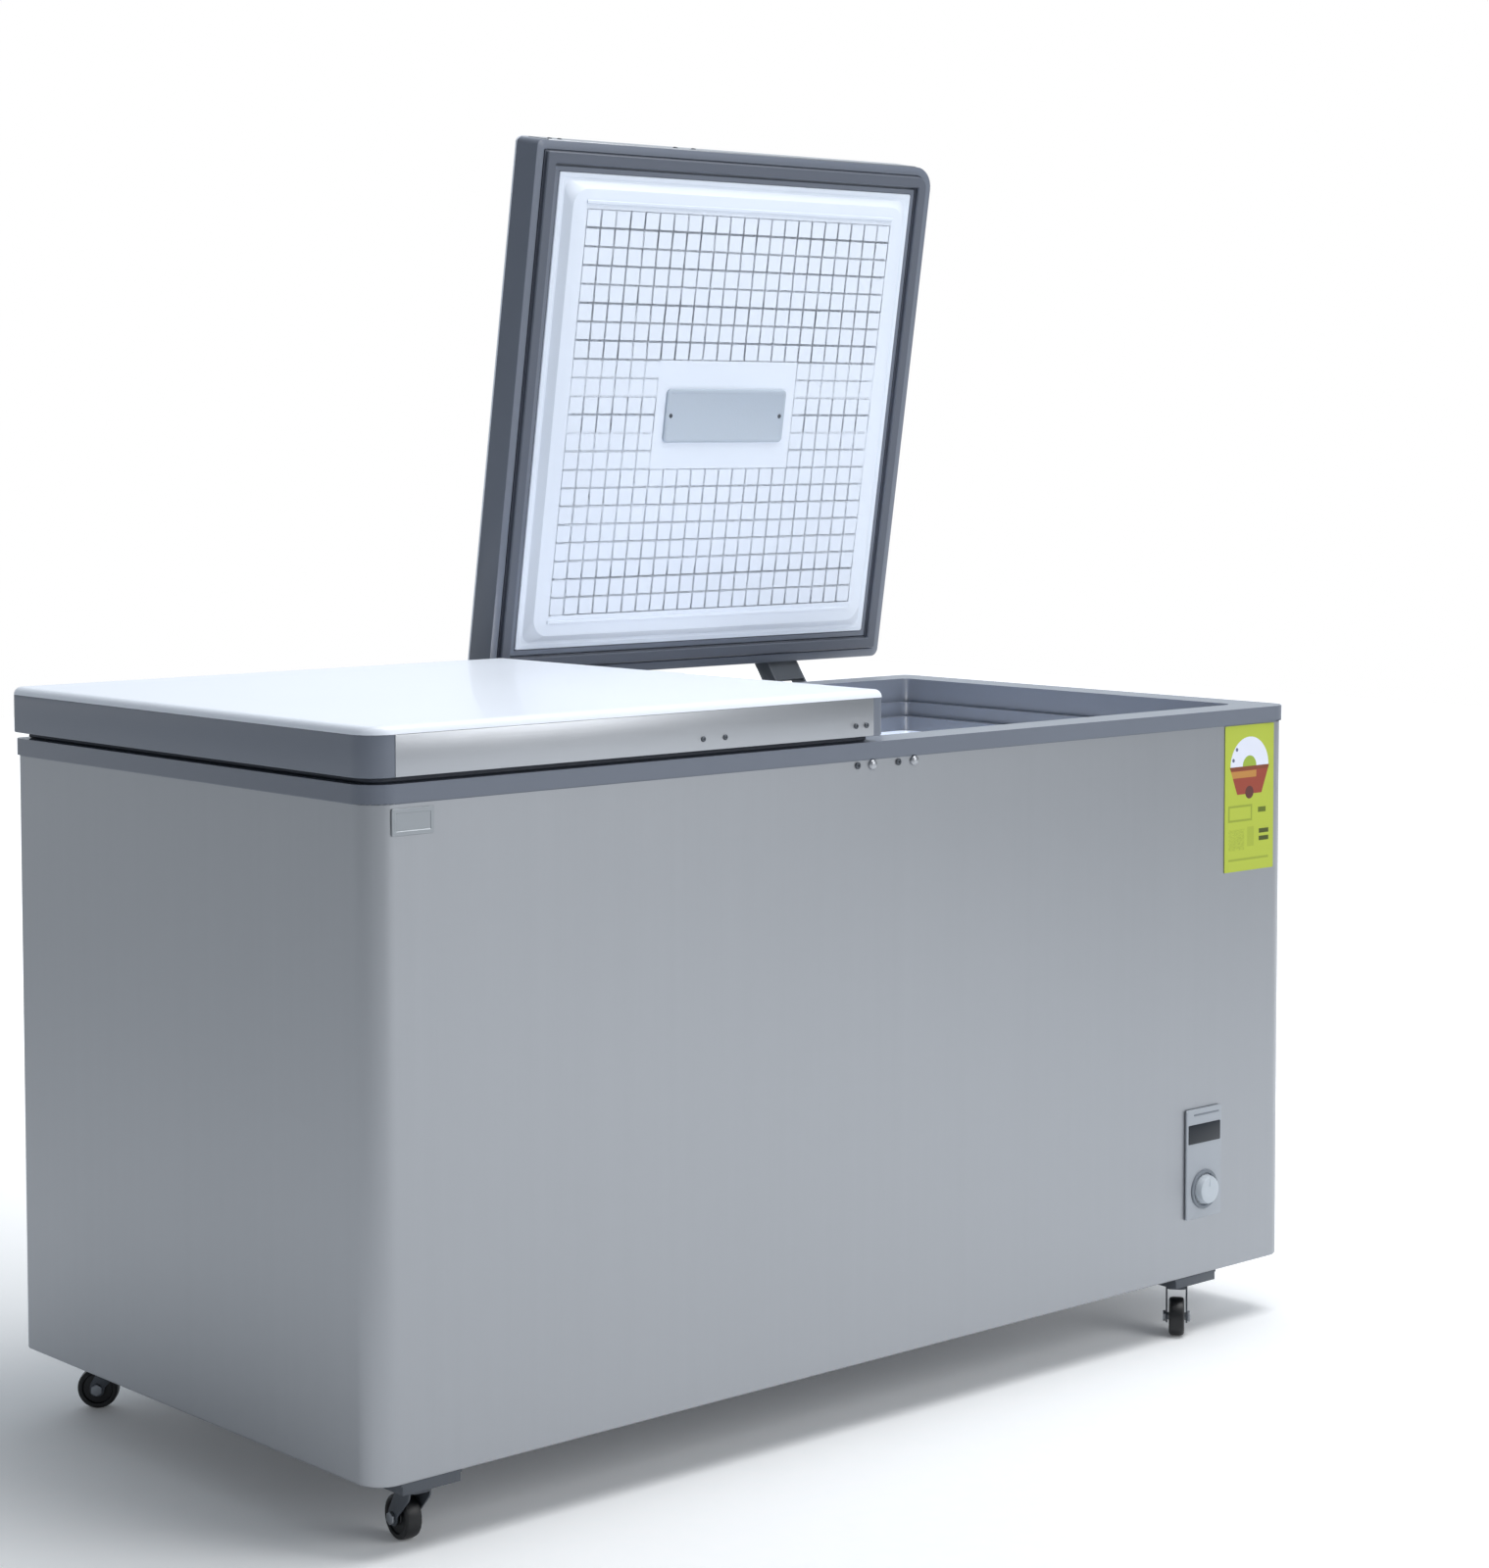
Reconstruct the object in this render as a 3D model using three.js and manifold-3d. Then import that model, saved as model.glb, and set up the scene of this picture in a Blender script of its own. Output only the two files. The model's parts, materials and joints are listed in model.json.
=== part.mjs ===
// Two-lid chest freezer on casters: left lid shut, right lid standing open.
// Millimetres, +Z up, -Y is the front. The origin is on the floor, under the middle of the whole object.
import * as THREE from "three";
import { mergeVertices } from "three/addons/utils/BufferGeometryUtils.js";
import Module from "manifold-3d";

const wasm = await Module();
wasm.setup();

// Driving dimensions
const WIDTH = 1500; // cabinet, without rim and lids
const DEPTH = 732;
const BASE_Z = 80; // underside of the cabinet
const WALL_H = 724; // from the underside to the rim band
const RIM_BAND = 20; // visible height of the rim
const LID_GAP = 7; // between rim and lid, filled by the gasket
const LID_SIDE = 45; // height of a lid's side
const LID_OVERHANG = 5; // past the cabinet at the front and the ends
const LID_SPLIT = 22; // gap between the two lids
const SHEET = 1.5; // steel skins
const GAP = 0.3; // between touching pieces
const FRONT_R = 32; // cabinet's front corners
const BACK_R = 10;
const WALL = 75; // skin to tank, foam between
const FLOOR_T = 70;
const OPEN_ANGLE = 80.8; // how far the right lid stands open, in degrees

// Casters
const WHEEL_R = 25;
const WHEEL_W = 20;
const TRAIL = 22; // wheel centre behind the swivel axis
const AXLE_R = 5;
const MOUNT_H = 13;

// Hinges
const PIVOT_BACK = 42; // hinge pin behind the lid's back edge
const PIVOT_DROP = 28; // hinge pin below the lid's underside
const HINGE_W = 66; // outside the bracket's cheeks
const CHEEK = 3;
const PIN_R = 4;

// Levels and half sizes worked out from these
const RIM_Z = BASE_Z + WALL_H;
const RIM_TOP = RIM_Z + RIM_BAND;
const LID_Z = RIM_TOP + LID_GAP;
const HALF_W = WIDTH / 2;
const HALF_D = DEPTH / 2;
const LID_W = HALF_W + LID_OVERHANG - LID_SPLIT / 2;
const LID_L = DEPTH + 2 * LID_OVERHANG;
const PIVOT_Y = HALF_D + LID_OVERHANG + PIVOT_BACK;
const PIVOT_Z = LID_Z - PIVOT_DROP;
const TANK_FLOOR = BASE_Z + FLOOR_T;
const TANK_TOP = RIM_TOP - 74;
const STEP_X = 410; // the tank's raised step over the machine room
const STEP_Z = 360;
const ROOM = { x0: 470, x1: HALF_W - WALL, y: HALF_D - WALL, z1: 290 }; // machine room

const CORNER_STEPS = 2; // three.js doubles this on an arc, so 4 facets a corner
const rad = THREE.MathUtils.degToRad;

// ---- Solids ----

function toSolid(geometry) {
  const bare = geometry.clone();
  bare.deleteAttribute("normal");
  bare.deleteAttribute("uv");
  const merged = mergeVertices(bare, 1e-4);
  return new wasm.Manifold(
    new wasm.Mesh({
      numProp: 3,
      vertProperties: merged.attributes.position.array,
      triVerts: new Uint32Array(merged.index.array),
    }),
  );
}

function toGeometry(solid) {
  const mesh = solid.getMesh();
  const geometry = new THREE.BufferGeometry();
  geometry.setAttribute("position", new THREE.BufferAttribute(mesh.vertProperties, 3));
  geometry.setIndex(new THREE.BufferAttribute(mesh.triVerts, 1));
  geometry.computeVertexNormals();
  return geometry;
}

const join = (...parts) => toGeometry(parts.map(toSolid).reduce((a, b) => a.add(b)));

const cut = (body, ...tools) =>
  toGeometry(tools.map(toSolid).reduce((a, b) => a.subtract(b), toSolid(body)));

const common = (a, b) => toGeometry(toSolid(a).intersect(toSolid(b)));

function block(x0, x1, y0, y1, z0, z1) {
  const geometry = new THREE.BoxGeometry(x1 - x0, y1 - y0, z1 - z0);
  return geometry.translate((x0 + x1) / 2, (y0 + y1) / 2, (z0 + z1) / 2);
}

// Outline of a rectangle with round corners; the front (low y) and back corners may differ.
function outline(Kind, x0, x1, y0, y1, rFront, rBack = rFront) {
  const shape = new Kind();
  shape.absarc(x1 - rBack, y1 - rBack, rBack, 0, Math.PI / 2);
  shape.absarc(x0 + rBack, y1 - rBack, rBack, Math.PI / 2, Math.PI);
  shape.absarc(x0 + rFront, y0 + rFront, rFront, Math.PI, 1.5 * Math.PI);
  shape.absarc(x1 - rFront, y0 + rFront, rFront, 1.5 * Math.PI, 2 * Math.PI);
  shape.closePath();
  return shape;
}

function extrude(shape, depth, curveSegments = CORNER_STEPS) {
  return new THREE.ExtrudeGeometry(shape, { depth, bevelEnabled: false, curveSegments });
}

function slab(x0, x1, y0, y1, z0, z1, rFront, rBack = rFront) {
  const shape = outline(THREE.Shape, x0, x1, y0, y1, rFront, rBack);
  return extrude(shape, z1 - z0).translate(0, 0, z0);
}

// A slab that follows the cabinet's plan, set in by n from its skin.
function cabinetSlab(n, z0, z1) {
  const inner = n > 20 ? 22 : 0;
  const rFront = inner || FRONT_R - n;
  const rBack = inner || Math.max(BACK_R - n, 3);
  return slab(-HALF_W + n, HALF_W - n, -HALF_D + n, HALF_D - n, z0, z1, rFront, rBack);
}

const cabinetRing = (n0, n1, z0, z1) => cut(cabinetSlab(n0, z0, z1), cabinetSlab(n1, z0 - 1, z1 + 1));

// A solid whose outline lies in the YZ plane, from x0 to x1.
function profileYZ(shape, x0, x1) {
  return extrude(shape, x1 - x0)
    .rotateX(Math.PI / 2)
    .rotateZ(Math.PI / 2)
    .translate(x0, 0, 0);
}

// A solid whose outline lies in the XZ plane, from y0 to y1.
function profileXZ(shape, y0, y1) {
  return extrude(shape, y1 - y0).rotateX(Math.PI / 2).translate(0, y1, 0);
}

function rodX(x0, x1, y, z, r, sides = 12) {
  return new THREE.CylinderGeometry(r, r, x1 - x0, sides)
    .rotateZ(Math.PI / 2)
    .translate((x0 + x1) / 2, y, z);
}

function rodY(x, y0, y1, z, r, sides = 12) {
  return new THREE.CylinderGeometry(r, r, y1 - y0, sides).translate(x, (y0 + y1) / 2, z);
}

function rodZ(x, y, z0, z1, r, sides = 16) {
  return new THREE.CylinderGeometry(r, r, z1 - z0, sides)
    .rotateX(Math.PI / 2)
    .translate(x, y, (z0 + z1) / 2);
}

function polygon(points) {
  return new THREE.Shape(points.map(([x, y]) => new THREE.Vector2(x, y)));
}

// ---- Materials ----

const finish = (color, roughness, metalness) =>
  new THREE.MeshStandardMaterial({ color, roughness, metalness });

const steel = finish(0xabaeb6, 0.35, 0.9);
const zinc = finish(0x8a8f96, 0.45, 0.9);
const bracketSteel = finish(0x4b4f55, 0.5, 0.8);
const greyPlastic = finish(0x5f6b77, 0.5, 0);
const darkPlastic = finish(0x2b3239, 0.35, 0);
const whitePlastic = finish(0xccd5e9, 0.4, 0);
const lidWhite = finish(0xecf4f9, 0.3, 0.1);
const foam = finish(0xe6d8a8, 0.9, 0);
const tankSheet = finish(0x93a2b7, 0.4, 0.5);
const copper = finish(0xb87345, 0.35, 0.9);
const black = finish(0x0d0f13, 0.6, 0.1);
const paper = finish(0xa1ab5d, 0.7, 0);
const frosted = finish(0x9faab6, 0.5, 0);

const freezer = new THREE.Group();

function add(name, geometry, material, parent = freezer) {
  const mesh = new THREE.Mesh(geometry, material);
  mesh.name = name;
  parent.add(mesh);
  return mesh;
}

// ---- Cabinet ----

const PANEL = { x: 577, w: 70, z0: 156, z1: 302 }; // control panel on the front
const GRILLE = { y: 190, z0: 120, z1: 270 };
const DRAIN = { x: -600, y: -220, r: 11 };
const LEG = 22; // how far the skin turns round onto the back

const panelPocket = (margin, y0, y1) =>
  block(PANEL.x - 28 - margin, PANEL.x + 28 + margin, y0, y1, PANEL.z0 + 10 - margin, PANEL.z1 - 10 + margin);

function buildSkins() {
  const wrap = cabinetRing(0, SHEET, BASE_Z, RIM_Z + 8);
  const backOpening = block(
    -HALF_W + LEG, HALF_W - LEG, HALF_D - 8, HALF_D + 1, BASE_Z - 1, RIM_TOP);
  const grilleHole = block(
    HALF_W - 5, HALF_W + 5, -GRILLE.y, GRILLE.y, GRILLE.z0, GRILLE.z1);
  const pocket = panelPocket(0, -HALF_D - 5, -HALF_D + 5);
  add("outer_shell", cut(wrap, backOpening, grilleHole, pocket), steel);

  const panelX = HALF_W - LEG - GAP;
  add("back_panel", block(-panelX, panelX, HALF_D - SHEET, HALF_D, BASE_Z, RIM_Z + 8), zinc);
  const pan = cabinetSlab(SHEET + GAP, BASE_Z, BASE_Z + SHEET);
  const ventY = ROOM.y - 60;
  const vents = [500, 650].map((x) => block(x - 12, x + 12, -ventY, ventY, BASE_Z - 1, BASE_Z + 5));
  add("base_pan", cut(pan, ...vents), zinc);
}

// The stepped space inside the walls, grown by n beyond the tank's inner faces.
function tankSpace(n, top) {
  const x = HALF_W - WALL + n;
  const y = HALF_D - WALL + n;
  const pit = slab(-x, STEP_X + n, -y, y, TANK_FLOOR - n, top, 22);
  const shelf = slab(STEP_X - 60, x, -y, y, STEP_Z - n, top, 22);
  return join(pit, shelf);
}

const COIL = { rows: 3, first: 430, pitch: 120 };

function buildInside() {
  const recess = { z0: COIL.first - 20, z1: COIL.first + COIL.pitch * (COIL.rows - 1) + 30 };
  const body = cabinetSlab(SHEET + GAP, BASE_Z + SHEET + GAP, RIM_Z + 7.7);
  const foamBody = cut(
    body,
    tankSpace(SHEET + GAP, RIM_TOP + 10),
    cabinetSlab(WALL - 3 - GAP, TANK_TOP - GAP, RIM_TOP + 10),
    cabinetSlab(WALL - 16 - GAP, RIM_TOP - 57 - GAP, RIM_TOP + 10),
    cabinetSlab(WALL - 26 - GAP, RIM_TOP - 37 - GAP, RIM_TOP + 10),
    cabinetSlab(WALL - 12, recess.z0, recess.z1),
    cabinetRing(-5, 10, recess.z0, recess.z1),
    block(ROOM.x0, ROOM.x1, -ROOM.y, ROOM.y, BASE_Z, ROOM.z1),
    block(ROOM.x1 - 5, HALF_W + 10, -GRILLE.y, GRILLE.y, GRILLE.z0, GRILLE.z1),
    panelPocket(2, -HALF_D - 5, -ROOM.y + 1),
    rodZ(DRAIN.x, DRAIN.y, BASE_Z, TANK_FLOOR + 5, DRAIN.r + 3),
  );

  // The foam is kept as one block for each wall and one for the floor and step, each nearly convex.
  const inX = HALF_W - WALL;
  const inY = HALF_D - WALL;
  const far = HALF_W + 10;
  const walls = {
    front: [-far, far, -far, -inY],
    back: [-far, far, inY, far],
    left: [-far, -inX, -inY + GAP, inY - GAP],
    right: [inX, far, -inY + GAP, inY - GAP],
  };
  for (const [side, extent] of Object.entries(walls)) {
    add(`insulation_${side}`, common(foamBody, block(...extent, 0, RIM_TOP)), foam);
  }
  const middle = block(-inX + GAP, inX - GAP, -inY + GAP, inY - GAP, 0, STEP_Z);
  const pit = block(-far, STEP_X + SHEET + GAP, -inY, inY, TANK_FLOOR - SHEET - GAP, RIM_TOP);
  add("insulation_floor", cut(common(foamBody, middle), pit), foam);

  const tank = cut(
    tankSpace(SHEET, TANK_TOP - GAP),
    tankSpace(0, RIM_TOP),
    rodZ(DRAIN.x, DRAIN.y, TANK_FLOOR - 5, TANK_FLOOR + 5, DRAIN.r),
  );
  add("inner_tank", tank, tankSheet);

  const plug = join(
    rodZ(DRAIN.x, DRAIN.y, TANK_FLOOR - 14, TANK_FLOOR + 1, DRAIN.r - GAP),
    rodZ(DRAIN.x, DRAIN.y, TANK_FLOOR + GAP, TANK_FLOOR + 5, DRAIN.r + 6),
  );
  add("drain_plug", plug, black);

  const coil = (n0, n1) => {
    const rows = Array.from({ length: COIL.rows }, (_, i) => {
      const z = COIL.first + i * COIL.pitch;
      return cabinetRing(n0, n1, z, z + n1 - n0);
    });
    const top = COIL.first + COIL.pitch * (COIL.rows - 1) + n1 - n0;
    const riser = block(200, 208, HALF_D - n1, HALF_D - n0, COIL.first, top);
    return join(...rows, riser);
  };
  add("evaporator_coil", coil(64.5, 71.5), copper);
  add("condenser_coil", coil(2.5, 8), copper);
}

function buildRim() {
  const flange = cabinetRing(-3, WALL - 23, RIM_Z + 8.3, RIM_TOP);
  const steps = [
    cabinetRing(-3, -GAP, RIM_Z, RIM_TOP - 4),
    cabinetRing(WALL - 26, WALL - 23, RIM_TOP - 37, RIM_TOP - 4),
    cabinetRing(WALL - 26, WALL - 13, RIM_TOP - 37, RIM_TOP - 34),
    cabinetRing(WALL - 16, WALL - 13, RIM_TOP - 57, RIM_TOP - 34),
    cabinetRing(WALL - 16, WALL, RIM_TOP - 57, RIM_TOP - 54),
    cabinetRing(WALL - 3, WALL, TANK_TOP, RIM_TOP - 54),
  ];
  add("rim_frame", join(flange, ...steps), greyPlastic);

  const barY = HALF_D - WALL + 23 - GAP;
  const bar = join(
    block(-26, 26, -barY, barY, RIM_TOP - 30, RIM_TOP - 1),
    block(-20, 20, -barY, barY, RIM_TOP - 33.5, RIM_TOP - 29),
  );
  add("centre_bar", bar, greyPlastic);
}

// ---- Machine room, controls and labels ----

const COMPRESSOR = { x: 572, y: 20 };

function buildMachinery() {
  const trayZ = BASE_Z + SHEET + GAP;
  const tray = join(
    block(ROOM.x0 + 6, ROOM.x1 - 6, -130, 170, trayZ, trayZ + 3),
    block(ROOM.x0 + 6, ROOM.x0 + 9, -130, 170, trayZ, trayZ + 16),
    block(ROOM.x1 - 9, ROOM.x1 - 6, -130, 170, trayZ, trayZ + 16),
  );
  add("compressor_tray", tray, zinc);

  const { x, y } = COMPRESSOR;
  const feetZ = trayZ + 3 + GAP;
  const shell = [[58, 22], [70, 22], [88, 40], [92, 92], [88, 136], [62, 166], [0, 176],
    [0, 172], [60, 162], [84, 134], [88, 92], [84, 42], [58, 26], [58, 22]];
  const pot = new THREE.LatheGeometry(shell.map(([r, z]) => new THREE.Vector2(r, z)), 20)
    .rotateX(Math.PI / 2)
    .translate(x, y, feetZ);
  const foot = cut(
    block(x - 88, x + 88, y - 80, y + 80, feetZ + 18, feetZ + 23),
    rodZ(x, y, feetZ, feetZ + 30, 60, 20),
  );
  const pads = [[-78, -70], [78, -70], [-78, 70], [78, 70]].map(([dx, dy]) =>
    rodZ(x + dx, y + dy, feetZ, feetZ + 20, 9, 8));
  const terminals = block(x - 18, x + 18, y - 112, y - 86, feetZ + 60, feetZ + 110);
  add("compressor", join(pot, foot, ...pads, terminals), black);

  const bars = 7;
  const pitch = (GRILLE.z1 - GRILLE.z0 - 20) / bars;
  const slots = Array.from({ length: bars }, (_, i) => {
    const z = GRILLE.z0 + 10 + pitch * (i + 0.2);
    return block(-GRILLE.y + 12, GRILLE.y - 12, -20, 20, z, z + pitch * 0.6);
  });
  const plate = block(-GRILLE.y - 8, GRILLE.y + 8, 0, 2.5, GRILLE.z0 - 8, GRILLE.z1 + 8);
  const grille = cut(plate, ...slots).rotateZ(Math.PI / 2).translate(HALF_W + GAP + 2.5, 0, 0);
  add("vent_grille", grille, greyPlastic);
}

const KNOB_Z = PANEL.z0 + 38;
const FACE_Y = -HALF_D - GAP; // just in front of the front skin

function buildControls() {
  const { x, w, z0, z1 } = PANEL;
  const face = profileXZ(outline(THREE.Shape, x - w / 2, x + w / 2, z0, z1, 5), FACE_Y - 5, FACE_Y);
  const windowPocket = block(x - 32, x + 32, FACE_Y - 6, FACE_Y - 3, z1 - 46, z1 - 20);
  const knobWell = rodY(x, FACE_Y - 6, FACE_Y - 2.5, KNOB_Z, 26, 24);
  const shaftHole = rodY(x, FACE_Y - 6, FACE_Y + 1, KNOB_Z, 5);
  add("control_panel", cut(face, windowPocket, knobWell, shaftHole), greyPlastic);
  add(
    "display_window",
    block(x - 31.7, x + 31.7, FACE_Y - 4.6, FACE_Y - 3.3, z1 - 45.7, z1 - 20.3),
    darkPlastic,
  );
  const thermostat = join(
    block(x - 24, x + 24, -HALF_D + 3, -ROOM.y, KNOB_Z - 24, KNOB_Z + 24),
    block(x - 26, x + 26, -HALF_D + 3, -HALF_D + 14, KNOB_Z - 24, PANEL.z1 - 18),
  );
  add("thermostat", thermostat, darkPlastic);

  const knob = new THREE.LatheGeometry(
    [[0, 0], [21, 0], [20, 3], [19, 9], [17.5, 10.5], [0, 11]].map(([r, h]) => new THREE.Vector2(r, h)),
    24,
  );
  knob.rotateZ(Math.PI); // the knob's face looks to the front
  const shaft = rodY(0, 0, 7, 0, 3.5);
  const pointer = block(-1.5, 1.5, -11.8, -10, 3, 16);
  const knobMesh = add("thermostat_knob", join(knob, shaft.translate(0, -1, 0), pointer), whitePlastic);
  knobMesh.position.set(x, FACE_Y - 2.8, KNOB_Z);

  add("badge_plate", block(-723, -668, FACE_Y - 1.5, FACE_Y, RIM_Z - 35, RIM_Z - 6), zinc);
  add("energy_label", block(617, 717, FACE_Y - 0.6, FACE_Y, RIM_Z - 196, RIM_Z - 2), paper);
}

// ---- Casters ----

const CASTERS = {
  front_left: { x: -677, y: -334, turn: 86, toLeft: 36, toRight: 40 },
  front_right: { x: 565, y: -334, turn: -139, toLeft: 36, toRight: 42 },
  back_left: { x: -657, y: 310, turn: 139, toLeft: 36, toRight: 40 },
  back_right: { x: 565, y: 310, turn: 40, toLeft: 36, toRight: 42 },
};

function buildCaster(where, { x, y, turn, toLeft, toRight }) {
  const side = y < 0 ? -1 : 1;
  const mountTop = BASE_Z - GAP;
  const plateZ = mountTop - MOUNT_H;
  const mount = join(
    block(x - toLeft, x + toRight, y - 30, y - 27, plateZ, mountTop),
    block(x - toLeft, x + toRight, y + 27, y + 30, plateZ, mountTop),
    block(x - toLeft, x + toRight, y - 30, y + 30, plateZ, plateZ + 3),
    block(x - toLeft, x - toLeft + 3, y - 30, y + 30, plateZ, mountTop),
    block(x - toLeft - 2, x + toRight + 2, y + side * 12 - 18, y + side * 12 + 18, mountTop - 3, mountTop),
  );
  add(`caster_mount_${where}`, mount, bracketSteel);

  const swivel = new THREE.Group();
  swivel.position.set(x, y, 0);
  swivel.rotation.z = rad(turn);
  freezer.add(swivel);

  const forkTop = plateZ - GAP;
  const cheekShape = polygon([[-15, forkTop - 4], [15, forkTop - 4]]);
  cheekShape.lineTo(TRAIL + 8, WHEEL_R + 4);
  cheekShape.absarc(TRAIL, WHEEL_R, 9, 0.46, -Math.PI - 0.46, true);
  cheekShape.closePath();
  const inside = WHEEL_W / 2 + 2;
  const cheeks = [profileXZ(cheekShape, inside, inside + 2), profileXZ(cheekShape, -inside - 2, -inside)];
  const crown = slab(-17, 19, -inside - 2, inside + 2, forkTop - 6, forkTop - 3, 8);
  const bearing = rodZ(0, 0, forkTop - 4, forkTop, 13);
  const bore = rodY(TRAIL, -30, 30, WHEEL_R, AXLE_R + GAP);
  add(`caster_fork_${where}`, cut(join(...cheeks, crown, bearing), bore), zinc, swivel);

  const half = WHEEL_W / 2;
  const tread = [[5.3, half], [5.3, -half], [19, -half], [WHEEL_R, -half + 4], [WHEEL_R, half - 4]];
  tread.push([19, half], tread[0]);
  const wheel = new THREE.LatheGeometry(tread.map(([r, h]) => new THREE.Vector2(r, h)), 24);
  add(`caster_wheel_${where}`, wheel.translate(TRAIL, 0, WHEEL_R), black, swivel);

  const end = inside + 2 + GAP;
  const axle = join(
    rodY(TRAIL, -end - 3, end + 3, WHEEL_R, AXLE_R),
    rodY(TRAIL, -end - 4, -end, WHEEL_R, 7.5, 6),
    rodY(TRAIL, end, end + 4, WHEEL_R, 7.5, 6),
  );
  add(`caster_axle_${where}`, axle, zinc, swivel);
}

// ---- Lids and hinges ----

const FRAME_W = 41; // grey frame round the liner
const PANEL_IN = 64; // lid's edge to the liner's raised panel
const PANEL_R = 20;
const LAMP = { w: 225, l: 76 };

// One lid, shut, in the frame of its hinge pin: x from the lid's middle, y and z from the pin.
function buildLid(side, hingeXs, parent) {
  const mirror = side === "left" ? 1 : -1;
  const back = -PIVOT_BACK;
  const front = back - LID_L;
  const z0 = PIVOT_DROP;
  const slabAt = (n, low, high, r) =>
    slab(-LID_W / 2 + n, LID_W / 2 - n, front + n, back - n, z0 + low, z0 + high, r, r);
  const ring = (n0, n1, low, high, r0, r1) =>
    cut(slabAt(n0, low, high, r0), slabAt(n1, low - 1, high + 1, r1));

  // The grey surround carries the gasket groove below and a recess for the steel strip in front.
  const stripX0 = -LID_W / 2 + (mirror > 0 ? 35 : 18);
  const stripX1 = LID_W / 2 - (mirror > 0 ? 18 : 35);
  const surround = join(
    ring(0, 12, 0, LID_SIDE, 20, 10),
    ring(8, FRAME_W, 0, 8, 12, 8),
  );
  const groove = ring(13, 33, -1, 4, 9, 6);
  const stripRecess = block(stripX0 - GAP, stripX1 + GAP, front - 1, front + 1.5, z0 - 1, z0 + LID_SIDE + 1);
  add(`lid_frame_${side}`, cut(surround, groove, stripRecess), greyPlastic, parent);
  const strip = block(stripX0, stripX1, front, front + 1.2, z0 + 0.5, z0 + LID_SIDE);
  add(`lid_strip_${side}`, strip, steel, parent);

  // The gasket's foot sits in the groove and its cushion reaches down to the rim.
  const gasket = join(ring(14, 32, -1, 3.5, 9, 6), ring(16, 30, -LID_GAP + GAP, 0, 9, 6));
  add(`lid_gasket_${side}`, gasket, greyPlastic, parent);

  const core = join(
    slabAt(12 + GAP, 8 + GAP, LID_SIDE + 7.8, 10),
    slabAt(FRAME_W + 3.6, GAP, 9, 8),
    slabAt(PANEL_IN + 3 + GAP, -9 + GAP, 1, PANEL_R - 3),
  );
  add(`lid_core_${side}`, core, foam, parent);
  const liner = cut(
    join(slabAt(FRAME_W + GAP, -3, 8, 8), slabAt(PANEL_IN, -12, 0, PANEL_R)),
    slabAt(FRAME_W + 3.3, 0, 9, 8),
    slabAt(PANEL_IN + 3, -9, 9, PANEL_R - 3),
  );
  add(`lid_liner_${side}`, liner, whitePlastic, parent);

  const crown = (n) =>
    new THREE.ExtrudeGeometry(
      outline(THREE.Shape, -LID_W / 2 + 8 + n, LID_W / 2 - 8 - n, front + 8 + n, back - 8 - n, 14 - n),
      { depth: 1, bevelThickness: 7, bevelSize: 8, bevelSegments: 2, curveSegments: CORNER_STEPS },
    ).translate(0, 0, z0 + LID_SIDE + 1.7 - n);
  const crownCut = block(-LID_W, LID_W, front - 50, back + 50, z0 - 50, z0 + LID_SIDE + GAP);
  add(`lid_skin_${side}`, cut(crown(0), crown(SHEET), crownCut), lidWhite, parent);

  if (side === "right") {
    const midY = (front + back) / 2;
    const lens = slab(
      -LAMP.w / 2, LAMP.w / 2, midY - LAMP.l / 2, midY + LAMP.l / 2, z0 - 16, z0 - 12 - GAP, 6);
    add("lamp_cover", lens, frosted, parent);
  }
  hingeXs.forEach((x, i) => buildHingeArm(`${side}_${i + 1}`, x, parent));
}

// The moving half of a hinge: a plate on the lid's back and two ears down to the pin.
function buildHingeArm(name, x, parent) {
  const half = HINGE_W / 2 - CHEEK - GAP;
  const plateY = -PIVOT_BACK + GAP;
  const plate = block(x - half, x + half, plateY, plateY + 3, PIVOT_DROP + 2, PIVOT_DROP + LID_SIDE - 3);
  const ear = polygon([[plateY, PIVOT_DROP + LID_SIDE - 8], [plateY, PIVOT_DROP + 2], [-12, 0]]);
  ear.absarc(0, 0, 12, Math.PI, 2 * Math.PI);
  ear.lineTo(12, 12);
  ear.closePath();
  const hole = rodX(x - half - 1, x + half + 1, 0, 0, PIN_R + GAP);
  const ears = [profileYZ(ear, x - half, x - half + CHEEK), profileYZ(ear, x + half - CHEEK, x + half)];
  add(`hinge_arm_${name}`, cut(join(plate, ...ears), hole), bracketSteel, parent);
}

// The fixed half and its pin, in the cabinet's frame.
function buildHingeBase(name, x) {
  const half = HINGE_W / 2;
  const plateY = HALF_D + GAP;
  const plate = block(x - half - 14, x + half + 14, plateY, plateY + 3, PIVOT_Z - 95, RIM_Z - 1);
  const cheek = polygon([[plateY, RIM_Z - 1], [plateY, PIVOT_Z - 92], [plateY + 14, PIVOT_Z - 92]]);
  cheek.lineTo(PIVOT_Y + 11, PIVOT_Z - 14);
  cheek.absarc(PIVOT_Y, PIVOT_Z, 12, -0.4, Math.PI / 2);
  cheek.lineTo(HALF_D + 4, RIM_Z + 3); // stands clear of the rim's skirt
  cheek.lineTo(HALF_D + 4, RIM_Z - 1);
  cheek.closePath();
  const cheeks = [profileYZ(cheek, x - half, x - half + CHEEK), profileYZ(cheek, x + half - CHEEK, x + half)];
  const floor = block(x - half, x + half, plateY, plateY + 12, PIVOT_Z - 92, PIVOT_Z - 89);
  const pin = join(
    rodX(x - half - 4, x + half + 4, PIVOT_Y, PIVOT_Z, PIN_R),
    rodX(x - half - 4, x - half - GAP, PIVOT_Y, PIVOT_Z, PIN_R + 3),
    rodX(x + half + GAP, x + half + 4, PIVOT_Y, PIVOT_Z, PIN_R + 3),
  );
  add(`hinge_base_${name}`, join(plate, ...cheeks, floor, pin), bracketSteel); // the pin is riveted in
}

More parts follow.
